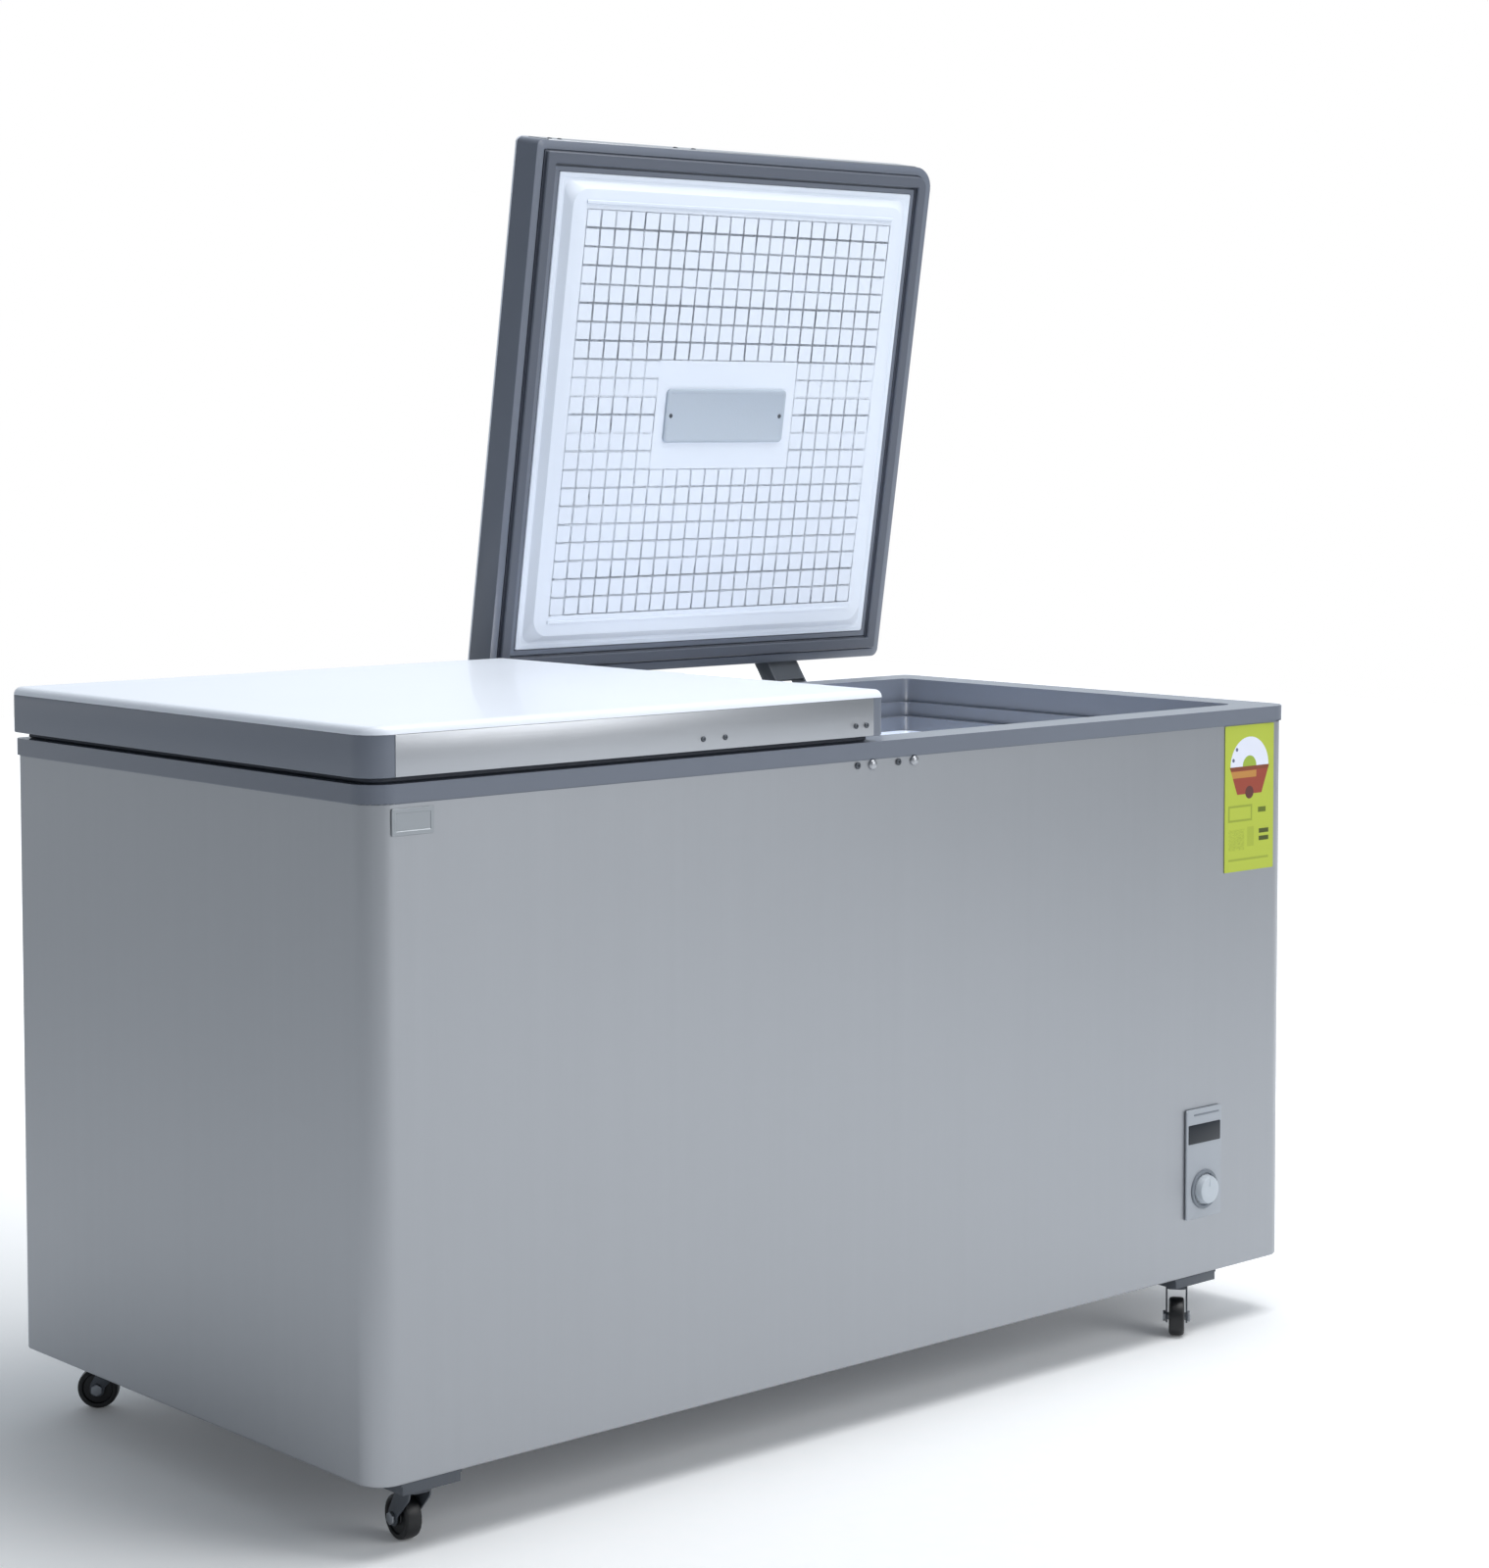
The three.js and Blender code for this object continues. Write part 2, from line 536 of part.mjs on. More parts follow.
function buildLids() {
  const middle = (HALF_W + LID_OVERHANG + LID_SPLIT / 2) / 2;
  const hingeXs = [-178, 178];
  const lids = { left: { x: -middle, open: 0 }, right: { x: middle, open: OPEN_ANGLE } };
  for (const [side, { x, open }] of Object.entries(lids)) {
    const hung = new THREE.Group();
    hung.position.set(x, PIVOT_Y, PIVOT_Z);
    hung.rotation.x = -rad(open);
    freezer.add(hung);
    buildLid(side, hingeXs, hung);
    hingeXs.forEach((dx, i) => buildHingeBase(`${side}_${i + 1}`, x + dx));
  }
}

buildSkins();
buildInside();
buildRim();
buildMachinery();
buildControls();
for (const [where, caster] of Object.entries(CASTERS)) buildCaster(where, caster);
buildLids();

// The origin goes under the middle of the whole object.
freezer.updateMatrixWorld(true);
const middle = new THREE.Box3().setFromObject(freezer, true).getCenter(new THREE.Vector3());
freezer.position.set(-middle.x, -middle.y, 0);

export default freezer;
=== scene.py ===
# %% [markdown]
# # A double-lid chest freezer
#
# A steel cabinet on four casters holds a metal tank in a thick jacket of foam. A grey plastic rim closes the
# gap between skin and tank, and two lids with white tops hinge at the back. One lid is shut and the other
# stands open, so its white inner moulding shows.
#
# The engineering model is already a set of named solids in metres. It is loaded here and never moved. The
# visible pieces are then made again, finer, in the places that the solids give.

# %% Load the frame
import json
import math

import bmesh
import bpy
from mathutils import Matrix, Vector


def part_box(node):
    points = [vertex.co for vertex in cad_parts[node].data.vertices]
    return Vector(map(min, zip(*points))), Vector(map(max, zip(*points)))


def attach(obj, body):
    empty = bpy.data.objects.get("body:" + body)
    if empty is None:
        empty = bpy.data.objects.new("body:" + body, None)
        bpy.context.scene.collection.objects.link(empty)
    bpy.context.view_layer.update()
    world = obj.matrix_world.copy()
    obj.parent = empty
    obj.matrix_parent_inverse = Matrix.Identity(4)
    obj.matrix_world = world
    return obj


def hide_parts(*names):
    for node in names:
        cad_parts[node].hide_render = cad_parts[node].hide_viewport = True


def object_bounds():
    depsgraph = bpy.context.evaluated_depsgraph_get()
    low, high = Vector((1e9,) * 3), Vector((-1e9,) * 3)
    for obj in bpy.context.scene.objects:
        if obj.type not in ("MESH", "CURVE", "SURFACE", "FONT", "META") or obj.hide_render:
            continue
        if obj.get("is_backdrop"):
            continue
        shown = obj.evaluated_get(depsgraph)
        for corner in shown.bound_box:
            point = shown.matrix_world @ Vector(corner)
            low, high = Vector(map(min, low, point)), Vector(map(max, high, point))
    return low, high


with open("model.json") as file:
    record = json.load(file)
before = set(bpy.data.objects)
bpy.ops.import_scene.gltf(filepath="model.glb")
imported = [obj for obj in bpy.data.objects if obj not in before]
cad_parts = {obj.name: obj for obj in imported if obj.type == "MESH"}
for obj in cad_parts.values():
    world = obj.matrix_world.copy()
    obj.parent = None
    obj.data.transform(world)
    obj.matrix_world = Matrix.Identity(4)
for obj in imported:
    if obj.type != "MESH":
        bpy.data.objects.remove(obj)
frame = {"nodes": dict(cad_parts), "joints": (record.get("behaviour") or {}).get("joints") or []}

cad_low, cad_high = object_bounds()
joints = {joint["name"]: joint for joint in frame["joints"]}
print("frame:", len(frame["nodes"]), "nodes,", len(joints), "joints, box", cad_low[:], cad_high[:])

# %% [markdown]
# ## Camera
#
# The camera stands at the freezer's front left corner and a little above the open mouth, nearly level. A level
# camera keeps upright edges upright, so the view is moved down with a small lens shift instead of a tilt. The
# turn is built from three angles, as a photographer would give them: how far right, how far down, and the roll.

# %% Camera
def aim(position, yaw, pitch, roll):
    """The matrix of a camera that looks along +Y, turned right by yaw and up by pitch, in degrees."""
    yaw, pitch, roll = (math.radians(angle) for angle in (yaw, pitch, roll))
    ahead = Vector((math.sin(yaw) * math.cos(pitch), math.cos(yaw) * math.cos(pitch), math.sin(pitch)))
    right = Vector((math.cos(yaw), -math.sin(yaw), 0))
    up = right.cross(ahead)
    right, up = right * math.cos(roll) + up * math.sin(roll), up * math.cos(roll) - right * math.sin(roll)
    turn = Matrix((right, up, -ahead)).transposed().to_4x4()
    return Matrix.Translation(position) @ turn


lens = bpy.data.cameras.new("camera")
lens.lens = 74.62
lens.shift_y = -0.1
camera = bpy.data.objects.new("camera", lens)
camera.matrix_world = aim((-2.6894, -3.1772, 1.1892), yaw=41.73, pitch=-3.427, roll=-0.08)
bpy.context.scene.collection.objects.link(camera)
bpy.context.scene.camera = camera
print("camera:", lens.lens, "mm lens at", camera.location[:])

# %% [markdown]
# ## Studio
#
# The room is a plain pale floor under a pale sky that is brighter behind the freezer. A large soft light hangs in
# front and to the right, so the front of the cabinet is the bright side and the left end falls into shade. A
# second light above gives the white lid its shine. Soft lights are large lights, so both are area lights over a
# metre wide. A small third one, out of sight under the shut lid, lights the walls of the open mouth.

# %% Floor, sky and lights
def area_light(name, position, target, size, power, colour=(1, 1, 1)):
    """A square soft light at position that points at target."""
    light = bpy.data.lights.new(name, "AREA")
    light.size = size
    light.energy = power
    light.color = colour
    lamp = bpy.data.objects.new(name, light)
    lamp.location = position
    lamp.rotation_euler = (Vector(target) - Vector(position)).to_track_quat("-Z", "Y").to_euler()
    bpy.context.scene.collection.objects.link(lamp)


FLOOR_HALF = 9.0
floor_bm = bmesh.new()
bmesh.ops.create_grid(floor_bm, x_segments=8, y_segments=8, size=FLOOR_HALF)
floor_mesh = bpy.data.meshes.new("floor")
floor_bm.to_mesh(floor_mesh)
floor_bm.free()
floor = bpy.data.objects.new("floor", floor_mesh)
bpy.context.scene.collection.objects.link(floor)
floor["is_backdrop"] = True

SKY = (0.86, 0.93, 1.0, 1)
SKY_LIGHT = (0.27, 1.0)
BRIGHT_WALL = (0.55, 0.8, 0.25)
world = bpy.data.worlds.new("studio")
world.use_nodes = True
sky_nodes, sky_links = world.node_tree.nodes, world.node_tree.links
fill_sky, seen_sky = sky_nodes["Background"], sky_nodes.new("ShaderNodeBackground")
fill_sky.inputs["Color"].default_value = SKY
facing = sky_nodes.new("ShaderNodeVectorMath")
facing.operation = "DOT_PRODUCT"
facing.inputs[1].default_value = BRIGHT_WALL
sky_links.new(sky_nodes.new("ShaderNodeTexCoord").outputs["Generated"], facing.inputs[0])
glow = sky_nodes.new("ShaderNodeMapRange")
glow.interpolation_type = "SMOOTHSTEP"
for label, value in zip(("From Min", "From Max", "To Min", "To Max"), (0.45, 0.95) + SKY_LIGHT):
    glow.inputs[label].default_value = value
sky_links.new(facing.outputs["Value"], glow.inputs["Value"])
sky_links.new(glow.outputs[0], fill_sky.inputs["Strength"])
seen_sky.inputs["Color"].default_value = (1, 1, 1, 1)
chosen = sky_nodes.new("ShaderNodeMixShader")
sky_links.new(sky_nodes.new("ShaderNodeLightPath").outputs["Is Camera Ray"], chosen.inputs[0])
sky_links.new(fill_sky.outputs[0], chosen.inputs[1])
sky_links.new(seen_sky.outputs[0], chosen.inputs[2])
sky_links.new(chosen.outputs[0], sky_nodes["World Output"].inputs["Surface"])
bpy.context.scene.world = world
bpy.context.scene.view_settings.view_transform = "Standard"

area_light("key", (1.7, -4.5, 2.7), (-0.1, 0, 0.6), size=2.8, power=88)
area_light("top", (0.7, -0.9, 4.4), (0.2, -0.1, 0.8), size=2.4, power=130)
area_light("inside", (0.12, -0.14, 0.6), (0.6, 0.25, 0.74), size=0.3, power=2.5)
print("studio: floor", 2 * FLOOR_HALF, "m wide, three soft lights")

# %% [markdown]
# ## Writing materials as sums
#
# A pattern is arithmetic on numbers that vary over the surface. A small class wraps a node's output so that
# plus, minus, times and the comparisons each add the Math node that does the same. Every other node comes from
# one method, which takes the node's type, its settings and its inputs.

# %% Sockets that can be added and multiplied
class Tone:
    """A number or colour that varies over a surface, as the output of one node."""

    def __init__(self, finish, socket):
        self.finish = finish
        self.socket = socket

    def math(self, operation, first, second=0.0):
        return self.finish.node("ShaderNodeMath", {"operation": operation}, {0: first, 1: second})

    def __add__(self, other):
        return self.math("ADD", self, other)

    def __sub__(self, other):
        return self.math("SUBTRACT", self, other)

    def __rsub__(self, other):
        return self.math("SUBTRACT", other, self)

    def __mul__(self, other):
        return self.math("MULTIPLY", self, other)

    def __truediv__(self, other):
        return self.math("DIVIDE", self, other)

    def __gt__(self, other):
        return self.math("GREATER_THAN", self, other)

    def __lt__(self, other):
        return self.math("LESS_THAN", self, other)

    def __abs__(self):
        return self.math("ABSOLUTE", self)

    __radd__ = __add__
    __rmul__ = __mul__


def srgb(red, green, blue):
    """A colour as a paint chart gives it, from 0 to 255, in the linear light that shaders count in."""
    def linear(level):
        level /= 255
        return level / 12.92 if level <= 0.04045 else ((level + 0.055) / 1.055) ** 2.4
    return linear(red), linear(green), linear(blue), 1.0


class Finish:
    """A material under construction, around one Principled shader."""

    def __init__(self, name, **fixed):
        self.material = bpy.data.materials.new(name)
        self.material.use_nodes = True
        self.shader = self.material.node_tree.nodes["Principled BSDF"]
        for label, value in fixed.items():
            self.shader.inputs[label.replace("_", " ")].default_value = value
        self.place = self.node("ShaderNodeTexCoord", out="Object")

    def node(self, kind, settings=None, inputs=None, out=0):
        made = self.material.node_tree.nodes.new(kind)
        for label, value in (settings or {}).items():
            setattr(made, label, value)
        for key, value in (inputs or {}).items():
            if isinstance(value, Tone):
                self.material.node_tree.links.new(value.socket, made.inputs[key])
            else:
                made.inputs[key].default_value = value
        return Tone(self, made.outputs[out])

    def axis(self, name):
        """One coordinate of the surface, in metres."""
        return self.node("ShaderNodeSeparateXYZ", inputs={0: self.place}, out=name)

    def noise(self, scale, stretch=(1, 1, 1), detail=2.0):
        """Smooth blotches, about 1 / scale metres wide, drawn out along an axis by a small stretch."""
        vector = self.node("ShaderNodeMapping", inputs={"Vector": self.place, "Scale": stretch})
        return self.node("ShaderNodeTexNoise", inputs={"Vector": vector, "Scale": scale, "Detail": detail})

    def blend(self, factor, low, high):
        """A colour between two others."""
        return self.node("ShaderNodeMix", {"data_type": "RGBA"}, {0: factor, 6: low, 7: high}, out=2)

    def feed(self, **inputs):
        for label, tone in inputs.items():
            self.material.node_tree.links.new(tone.socket, self.shader.inputs[label.replace("_", " ")])

    def bump(self, height, strength, distance=0.001):
        self.feed(Normal=self.node("ShaderNodeBump", inputs={
            "Height": height, "Strength": strength, "Distance": distance}))


def ramp(tone, start, end):
    """0 up to start, 1 from end, and a smooth slope between."""
    return tone.finish.node("ShaderNodeMapRange", {"interpolation_type": "SMOOTHSTEP"}, {
        "Value": tone, "From Min": start, "From Max": end})


def painted(name, colour, roughness, grain=900.0, bump=0.05, spread=0.06, **fixed):
    """A coating or plastic: one colour with faint clouds in it and a fine skin."""
    finish = Finish(name, **fixed)
    clouds = finish.noise(6.0, detail=3.0)
    skin = finish.noise(grain)
    darker = tuple(level * (1 - spread) for level in colour[:3]) + (1.0,)
    finish.feed(Base_Color=finish.blend(clouds, darker, colour),
                Roughness=skin * 0.12 + clouds * 0.06 + (roughness - 0.09))
    finish.bump(skin, bump)
    return finish.material


def brushed(name, colour, roughness, stretch, metallic=0.9):
    """Sheet metal with fine lines along one axis, where stretch is small."""
    finish = Finish(name, Metallic=metallic)
    lines = finish.noise(1400.0, stretch, detail=3.0)
    bands = finish.noise(60.0, stretch, detail=2.0)
    clouds = finish.noise(2.5)
    darker = tuple(level * 0.88 for level in colour[:3]) + (1.0,)
    finish.feed(Base_Color=finish.blend(lines * 0.45 + bands * 0.3 + clouds * 0.25, darker, colour),
                Roughness=lines * 0.14 + clouds * 0.06 + (roughness - 0.1))
    finish.bump(lines, 0.06)
    return finish.material


print("material tools ready")

# %% [markdown]
# ## The finishes
#
# The cabinet is thin stainless steel with a fine vertical grain. Plastic parts are nearly smooth, with the soft
# skin that a mould leaves. Each finish varies a little in colour and in gloss, because no real surface is even.

# %% Finishes
ALONG_Z = (1, 1, 0.012)
ALONG_X = (0.012, 1, 1)
steel = brushed("cabinet_steel", srgb(170, 173, 178), 0.38, ALONG_Z)
strip_steel = brushed("strip_steel", srgb(178, 181, 186), 0.36, ALONG_X)
zinc = brushed("zinc_plate", srgb(150, 154, 160), 0.4, (1, 1, 1), metallic=0.8)
bracket = painted("bracket_paint", srgb(82, 87, 94), 0.4, Metallic=0.4)
grey = painted("grey_moulding", srgb(106, 113, 126), 0.34, Coat_Weight=0.15)
dark_grey = painted("gasket_grey", srgb(84, 90, 102), 0.55)
white_top = painted("white_enamel", srgb(232, 238, 248), 0.42, grain=500.0, spread=0.03, Coat_Weight=0.12)
white_liner = painted("white_moulding", srgb(218, 226, 238), 0.34, grain=700.0)
panel_grey = painted("panel_grey", srgb(164, 170, 178), 0.42)
knob_grey = painted("knob_grey", srgb(190, 198, 206), 0.4)
# A darker grey: painted shade for the ring round the knob, and also the colour of the mark on the panel.
shade_ring_and_mark = painted("shade_and_mark_grey", srgb(118, 125, 134), 0.4)
black_glass = painted("display_black", srgb(36, 41, 48), 0.3, bump=0.0, Specular_IOR_Level=0.3)
tyre = painted("tyre_black", srgb(13, 15, 18), 0.42, bump=0.15)
black = painted("black_enamel", srgb(24, 25, 28), 0.35)
copper = painted("copper_tube", srgb(196, 122, 84), 0.35, Metallic=1.0)
foam = painted("foam", srgb(232, 214, 160), 0.9, grain=300.0, bump=0.4)
tank_sheet = brushed("tank_sheet", srgb(226, 234, 248), 0.45, (1, 1, 1), metallic=0.15)
frosted = painted("frosted_lens", srgb(172, 183, 196), 0.5, grain=400.0, bump=0.2)


def studio_floor():
    """White paper that glows brighter with distance, so the floor fades into the white behind it."""
    finish = Finish("floor_white", Roughness=0.8, Specular_IOR_Level=0.1, Emission_Strength=1.0)
    x, y = finish.axis("X"), finish.axis("Y")
    away = (x * x + y * y).math("POWER", x * x + y * y, 0.5)
    behind = ramp(x, -1.0, 1.0) * ramp(x * 0.5 + y, -0.2, 1.2)
    finish.feed(Base_Color=finish.blend(finish.noise(40.0), srgb(246, 248, 250), srgb(250, 251, 252)),
                Emission_Color=finish.blend(behind.math("MAXIMUM", ramp(away, 5.0, 9.0), behind),
                                            (0.05, 0.05, 0.05, 1), (0.85, 0.85, 0.85, 1)))
    return finish.material


pale_floor = studio_floor()
floor_mesh.materials.append(pale_floor)
print("finishes:", len(bpy.data.materials))

# %% [markdown]
# ## Shaping tools
#
# Nearly every piece here is either a rounded rectangle carried through a profile, like a picture frame, a flat
# shape drawn out to a thickness, or a turned shape. Three helpers make these from bmesh operators. The first
# rounds the corners of a rectangle with a bevel, and the second bridges one ring of edges to the next.

# %% Rings, lofts, prisms and turned shapes
MM = 0.001
CORNER_STEPS = 8


def bevel(bm, geometry, width, segments, affect):
    bmesh.ops.bevel(bm, geom=geometry, offset=width, offset_type="OFFSET", segments=segments,
                    profile=0.5, affect=affect, material=-1, clamp_overlap=True)


def flat(bm, points, rounding):
    """A face through a few points, each rounded by its own radius. Returns the face."""
    corners = [bm.verts.new(point) for point in points]
    face = bm.faces.new(corners)
    before = set(bm.faces) - {face}
    for corner, radius in zip(corners, rounding):
        if radius > 0:
            bevel(bm, [corner], radius, CORNER_STEPS, "VERTICES")
    return (set(bm.faces) - before).pop()


def ring(bm, low, high, inset, z, radii):
    """A closed ring of edges at height z: the rectangle low to high, drawn in by inset, its corners rounded."""
    x0, y0, x1, y1 = low[0] + inset, low[1] + inset, high[0] - inset, high[1] - inset
    face = flat(bm, [(x0, y0, z), (x1, y0, z), (x1, y1, z), (x0, y1, z)], radii)
    edges = list(face.edges)
    bmesh.ops.delete(bm, geom=[face], context="FACES_ONLY")
    return edges


def loft(bm, rings, ends):
    """Walls from each ring to the next. The ends are "joined" to each other, "capped" or left "open"."""
    pairs = list(zip(rings, rings[1:])) + ([(rings[-1], rings[0])] if ends == "joined" else [])
    for lower, upper in pairs:
        bmesh.ops.bridge_loops(bm, edges=lower + upper)
    for end in (rings[0], rings[-1]) if ends == "capped" else ():
        bmesh.ops.contextual_create(bm, geom=end)


def picture_frame(bm, low, high, profile, radius, ends="joined"):
    """A profile of (inset, z) points in millimetres carried round a rounded rectangle.
    The rings stand a metre apart while they are bridged, so no two are level, and then take their heights."""
    rings = [ring(bm, low, high, inset * MM, level, radius(inset)) for level, (inset, _) in enumerate(profile)]
    loft(bm, rings, ends)
    for edges, (_, z) in zip(rings, profile):
        for vert in {vert for edge in edges for vert in edge.verts}:
            vert.co.z = z * MM
    return rings


def prism(bm, points, start, end, axis="z", rounding=None):
    """A flat shape drawn out along an axis. Points are in the other two axes, in their order."""
    spot = {"x": lambda a, b, c: (c, a, b), "y": lambda a, b, c: (a, c, b), "z": lambda a, b, c: (a, b, c)}[axis]
    face = flat(bm, [spot(a, b, start) for a, b in points], rounding or [0] * len(points))
    grown = bmesh.ops.extrude_face_region(bm, geom=[face])["geom"]
    verts = [item for item in grown if isinstance(item, bmesh.types.BMVert)]
    bmesh.ops.translate(bm, vec=spot(0, 0, end - start), verts=verts)
    bmesh.ops.recalc_face_normals(bm, faces=bm.faces)


def slab(bm, low, high, axis="z", radius=0.0):
    """A plate between two corners, with its four edges along the axis rounded."""
    first, second = {"x": (1, 2), "y": (0, 2), "z": (0, 1)}[axis]
    third = 3 - first - second
    points = [(low[first], low[second]), (high[first], low[second]),
              (high[first], high[second]), (low[first], high[second])]
    prism(bm, points, low[third], high[third], axis, [radius] * 4)


def turned(bm, profile, steps=32):
    """A profile of (radius, height) points in millimetres spun round the Z axis."""
    verts = [bm.verts.new((radius * MM, 0, height * MM)) for radius, height in profile]
    edges = [bm.edges.new(pair) for pair in zip(verts, verts[1:])]
    bmesh.ops.spin(bm, geom=verts + edges, cent=(0, 0, 0), axis=(0, 0, 1), angle=2 * math.pi,
                   steps=steps, use_merge=True)
    bmesh.ops.remove_doubles(bm, verts=bm.verts, dist=0.01 * MM)


def soften(bm, width, segments=2, sharper_than=35):
    """Rounds every edge that turns by more than an angle."""
    sharp = [edge for edge in bm.edges
             if len(edge.link_faces) == 2 and edge.calc_face_angle() > math.radians(sharper_than)]
    bevel(bm, sharp, width, segments, "EDGES")


def stamped(bm, build, places):
    """Copies of one small shape, at each of several places given as matrices."""
    for place in places:
        copy = bmesh.new()
        build(copy)
        copy.transform(place)
        bmesh.ops.recalc_face_normals(copy, faces=copy.faces)
        mesh = bpy.data.meshes.new("stamp")
        copy.to_mesh(mesh)
        copy.free()
        bm.from_mesh(mesh)
        bpy.data.meshes.remove(mesh)


def piece(name, bm, body, material, replaced=(), smooth=32, recalculate=True):
    """Turns a bmesh into a finished object that rides on a body of the frame."""
    if recalculate:
        bmesh.ops.recalc_face_normals(bm, faces=bm.faces)
    mesh = bpy.data.meshes.new(name)
    bm.to_mesh(mesh)
    bm.free()
    mesh.shade_smooth()
    mesh.set_sharp_from_angle(angle=math.radians(smooth))
    mesh.materials.append(material)
    made = bpy.data.objects.new(name, mesh)
    bpy.context.scene.collection.objects.link(made)
    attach(made, body)
    if replaced:
        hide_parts(*replaced)
    print("piece:", name, len(mesh.polygons), "faces on", body)
    return made


def reworked(node, body, material, width, segments=2):
    """A CAD node's own shape with its edges rounded: the copy is merged and its flat faces joined first."""
    bm = bmesh.new()
    bm.from_mesh(frame["nodes"][node].data)
    bmesh.ops.remove_doubles(bm, verts=bm.verts, dist=0.02 * MM)
    bmesh.ops.dissolve_limit(bm, angle_limit=math.radians(2), verts=bm.verts, edges=bm.edges)
    soften(bm, width, segments)
    return piece(node + "_finished", bm, body, material, [node], recalculate=False)


def screw(bm, radius=4.0, height=2.4):
    """A domed screw head with a small round drive in it, standing on Z."""
    turned(bm, [(radius, 0), (radius, height * 0.3), (radius * 0.86, height * 0.75), (radius * 0.55, height),
                (radius * 0.3, height), (radius * 0.26, height * 0.5), (0, height * 0.5)], steps=20)


FACING_FRONT = Matrix.Rotation(math.radians(90), 4, "X")
FACING_BACK = Matrix.Rotation(math.radians(-90), 4, "X")
print("shaping tools ready")

# %% [markdown]
# ## The steel wrap
#
# On the real cabinet one long sheet is bent round the front and both ends. The front corners are wide bends and
# the back ones are tight. A rectangle with rounded corners is carried up the height, and its lower edge turns in a
# little, as a folded hem does, so the bottom edge catches no sharp line of light.

# %% Steel wrap
shell_low, shell_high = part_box("outer_shell")
FRONT_BEND = 32
BACK_BEND = 10


def bends(front, back, least=2.0):
    """Corner radii in metres for an inset in millimetres, in the order front left, front right, back, back."""
    def radii(inset):
        return [max(bend - inset, least) * MM for bend in (front, front, back, back)]
    return radii


bottom, top = shell_low.z / MM, shell_high.z / MM
wrap = bmesh.new()
picture_frame(wrap, shell_low, shell_high,
              [(0, bottom + 2.5), (0, top), (1.5, top), (1.5, bottom), (1.0, bottom), (0.3, bottom + 0.8)],
              bends(FRONT_BEND, BACK_BEND))
piece("steel_wrap", wrap, "cabinet", steel, ["outer_shell"])

# %% [markdown]
# ## The back panel
#
# The back is a flat sheet lapped over the wrap and held by rivets. Long shallow beads pressed into it keep it
# from drumming. A plane of a few faces is inset and the middle ones pushed out to make the beads.

# %% Back panel
panel_low, panel_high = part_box("back_panel")
BEADS = 5
BEAD_DEPTH = 1.6 * MM
BORDER = (0.06, 0.11)
back = bmesh.new()
spread = Matrix.Diagonal((panel_high.x - panel_low.x - 2 * BORDER[0], panel_high.z - panel_low.z - 2 * BORDER[1], 1, 1))
middle = (panel_low + panel_high) / 2
bmesh.ops.create_grid(back, x_segments=BEADS, y_segments=1, size=0.5,
                      matrix=Matrix.Translation((0, panel_high.y + 0.4 * MM, middle.z)) @ FACING_BACK @ spread)
beads = bmesh.ops.inset_individual(back, faces=back.faces, thickness=0.05, depth=0)["faces"]
pressed = [face for face in back.faces if face not in set(beads)]
bmesh.ops.inset_individual(back, faces=pressed, thickness=5 * MM, depth=BEAD_DEPTH)
edge = [item for item in back.edges if item.is_boundary]
grown = bmesh.ops.extrude_edge_only(back, edges=edge)["geom"]
for vert in (item for item in grown if isinstance(item, bmesh.types.BMVert)):
    vert.co.x += math.copysign(BORDER[0], vert.co.x) if abs(vert.co.x) > panel_high.x - 0.1 else 0
    vert.co.z += math.copysign(BORDER[1], vert.co.z - middle.z)
edge = [item for item in back.edges if item.is_boundary]
grown = bmesh.ops.extrude_edge_only(back, edges=edge)["geom"]
bmesh.ops.translate(back, vec=(0, -1.6 * MM, 0), verts=[item for item in grown if isinstance(item, bmesh.types.BMVert)])
bmesh.ops.contextual_create(back, geom=[item for item in back.edges if item.is_boundary])
piece("pressed_back", back, "cabinet", zinc, ["back_panel"])

rivets = bmesh.new()
RIVET_PITCH = 0.18
across = [x * RIVET_PITCH for x in range(-4, 5)]
places = [Matrix.Translation((x, panel_high.y + 0.3 * MM, z)) @ FACING_BACK
          for x in across for z in (panel_low.z + 0.012, panel_high.z - 0.012)]
stamped(rivets, lambda bm: turned(bm, [(3.5, 0), (3.1, 1.0), (1.8, 1.6), (0, 1.8)], steps=12), places)
piece("back_rivets", rivets, "cabinet", zinc)

# %% [markdown]
# ## The moulded rim
#
# The rim is one grey moulding all round the mouth. Outside it hangs over the steel as a band. Inside it steps
# down twice to the tank. The section is drawn once as a list of steps, and each edge is then rounded, because the
# rounded edges are what catch the light as bright lines.

# %% Rim
rim_low, rim_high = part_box("rim_frame")
RIM_TOP = rim_high.z / MM
BAND_FOOT = 804
TANK_EDGE = rim_low.z / MM
LEDGES = ((52, 790), (62, 770))
MOUTH = 75
rim = bmesh.new()
picture_frame(rim, shell_low, shell_high,
              [(-3, BAND_FOOT), (-3, RIM_TOP), (LEDGES[0][0], RIM_TOP), LEDGES[0], (LEDGES[1][0], LEDGES[0][1]),
               LEDGES[1], (MOUTH, LEDGES[1][1]), (MOUTH, TANK_EDGE), (MOUTH - 3, TANK_EDGE), (MOUTH - 3, 766),
               (59, 766), (59, 786), (49, 786), (49, RIM_TOP - 4), (0, RIM_TOP - 4), (0, BAND_FOOT)],
              lambda inset: bends(FRONT_BEND, BACK_BEND, 12)(min(inset, 14)))
soften(rim, 2.2 * MM, segments=3, sharper_than=60)
piece("moulded_rim", rim, "cabinet", grey, ["rim_frame"])

bar_low, bar_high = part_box("centre_bar")
bar = bmesh.new()
slab(bar, bar_low, bar_high, axis="y")
soften(bar, 4 * MM, segments=4)
piece("lid_seal_bar", bar, "cabinet", grey, ["centre_bar"])

# %% [markdown]
# ## The tank
#
# The tank is folded from pale metal sheet with generous bends, and its floor steps up over the machine room. The
# step shows in the front view, so that outline is drawn first and then drawn out from front to back. The top face
# is taken away, the long edges are rounded, and the sheet is given its thickness.

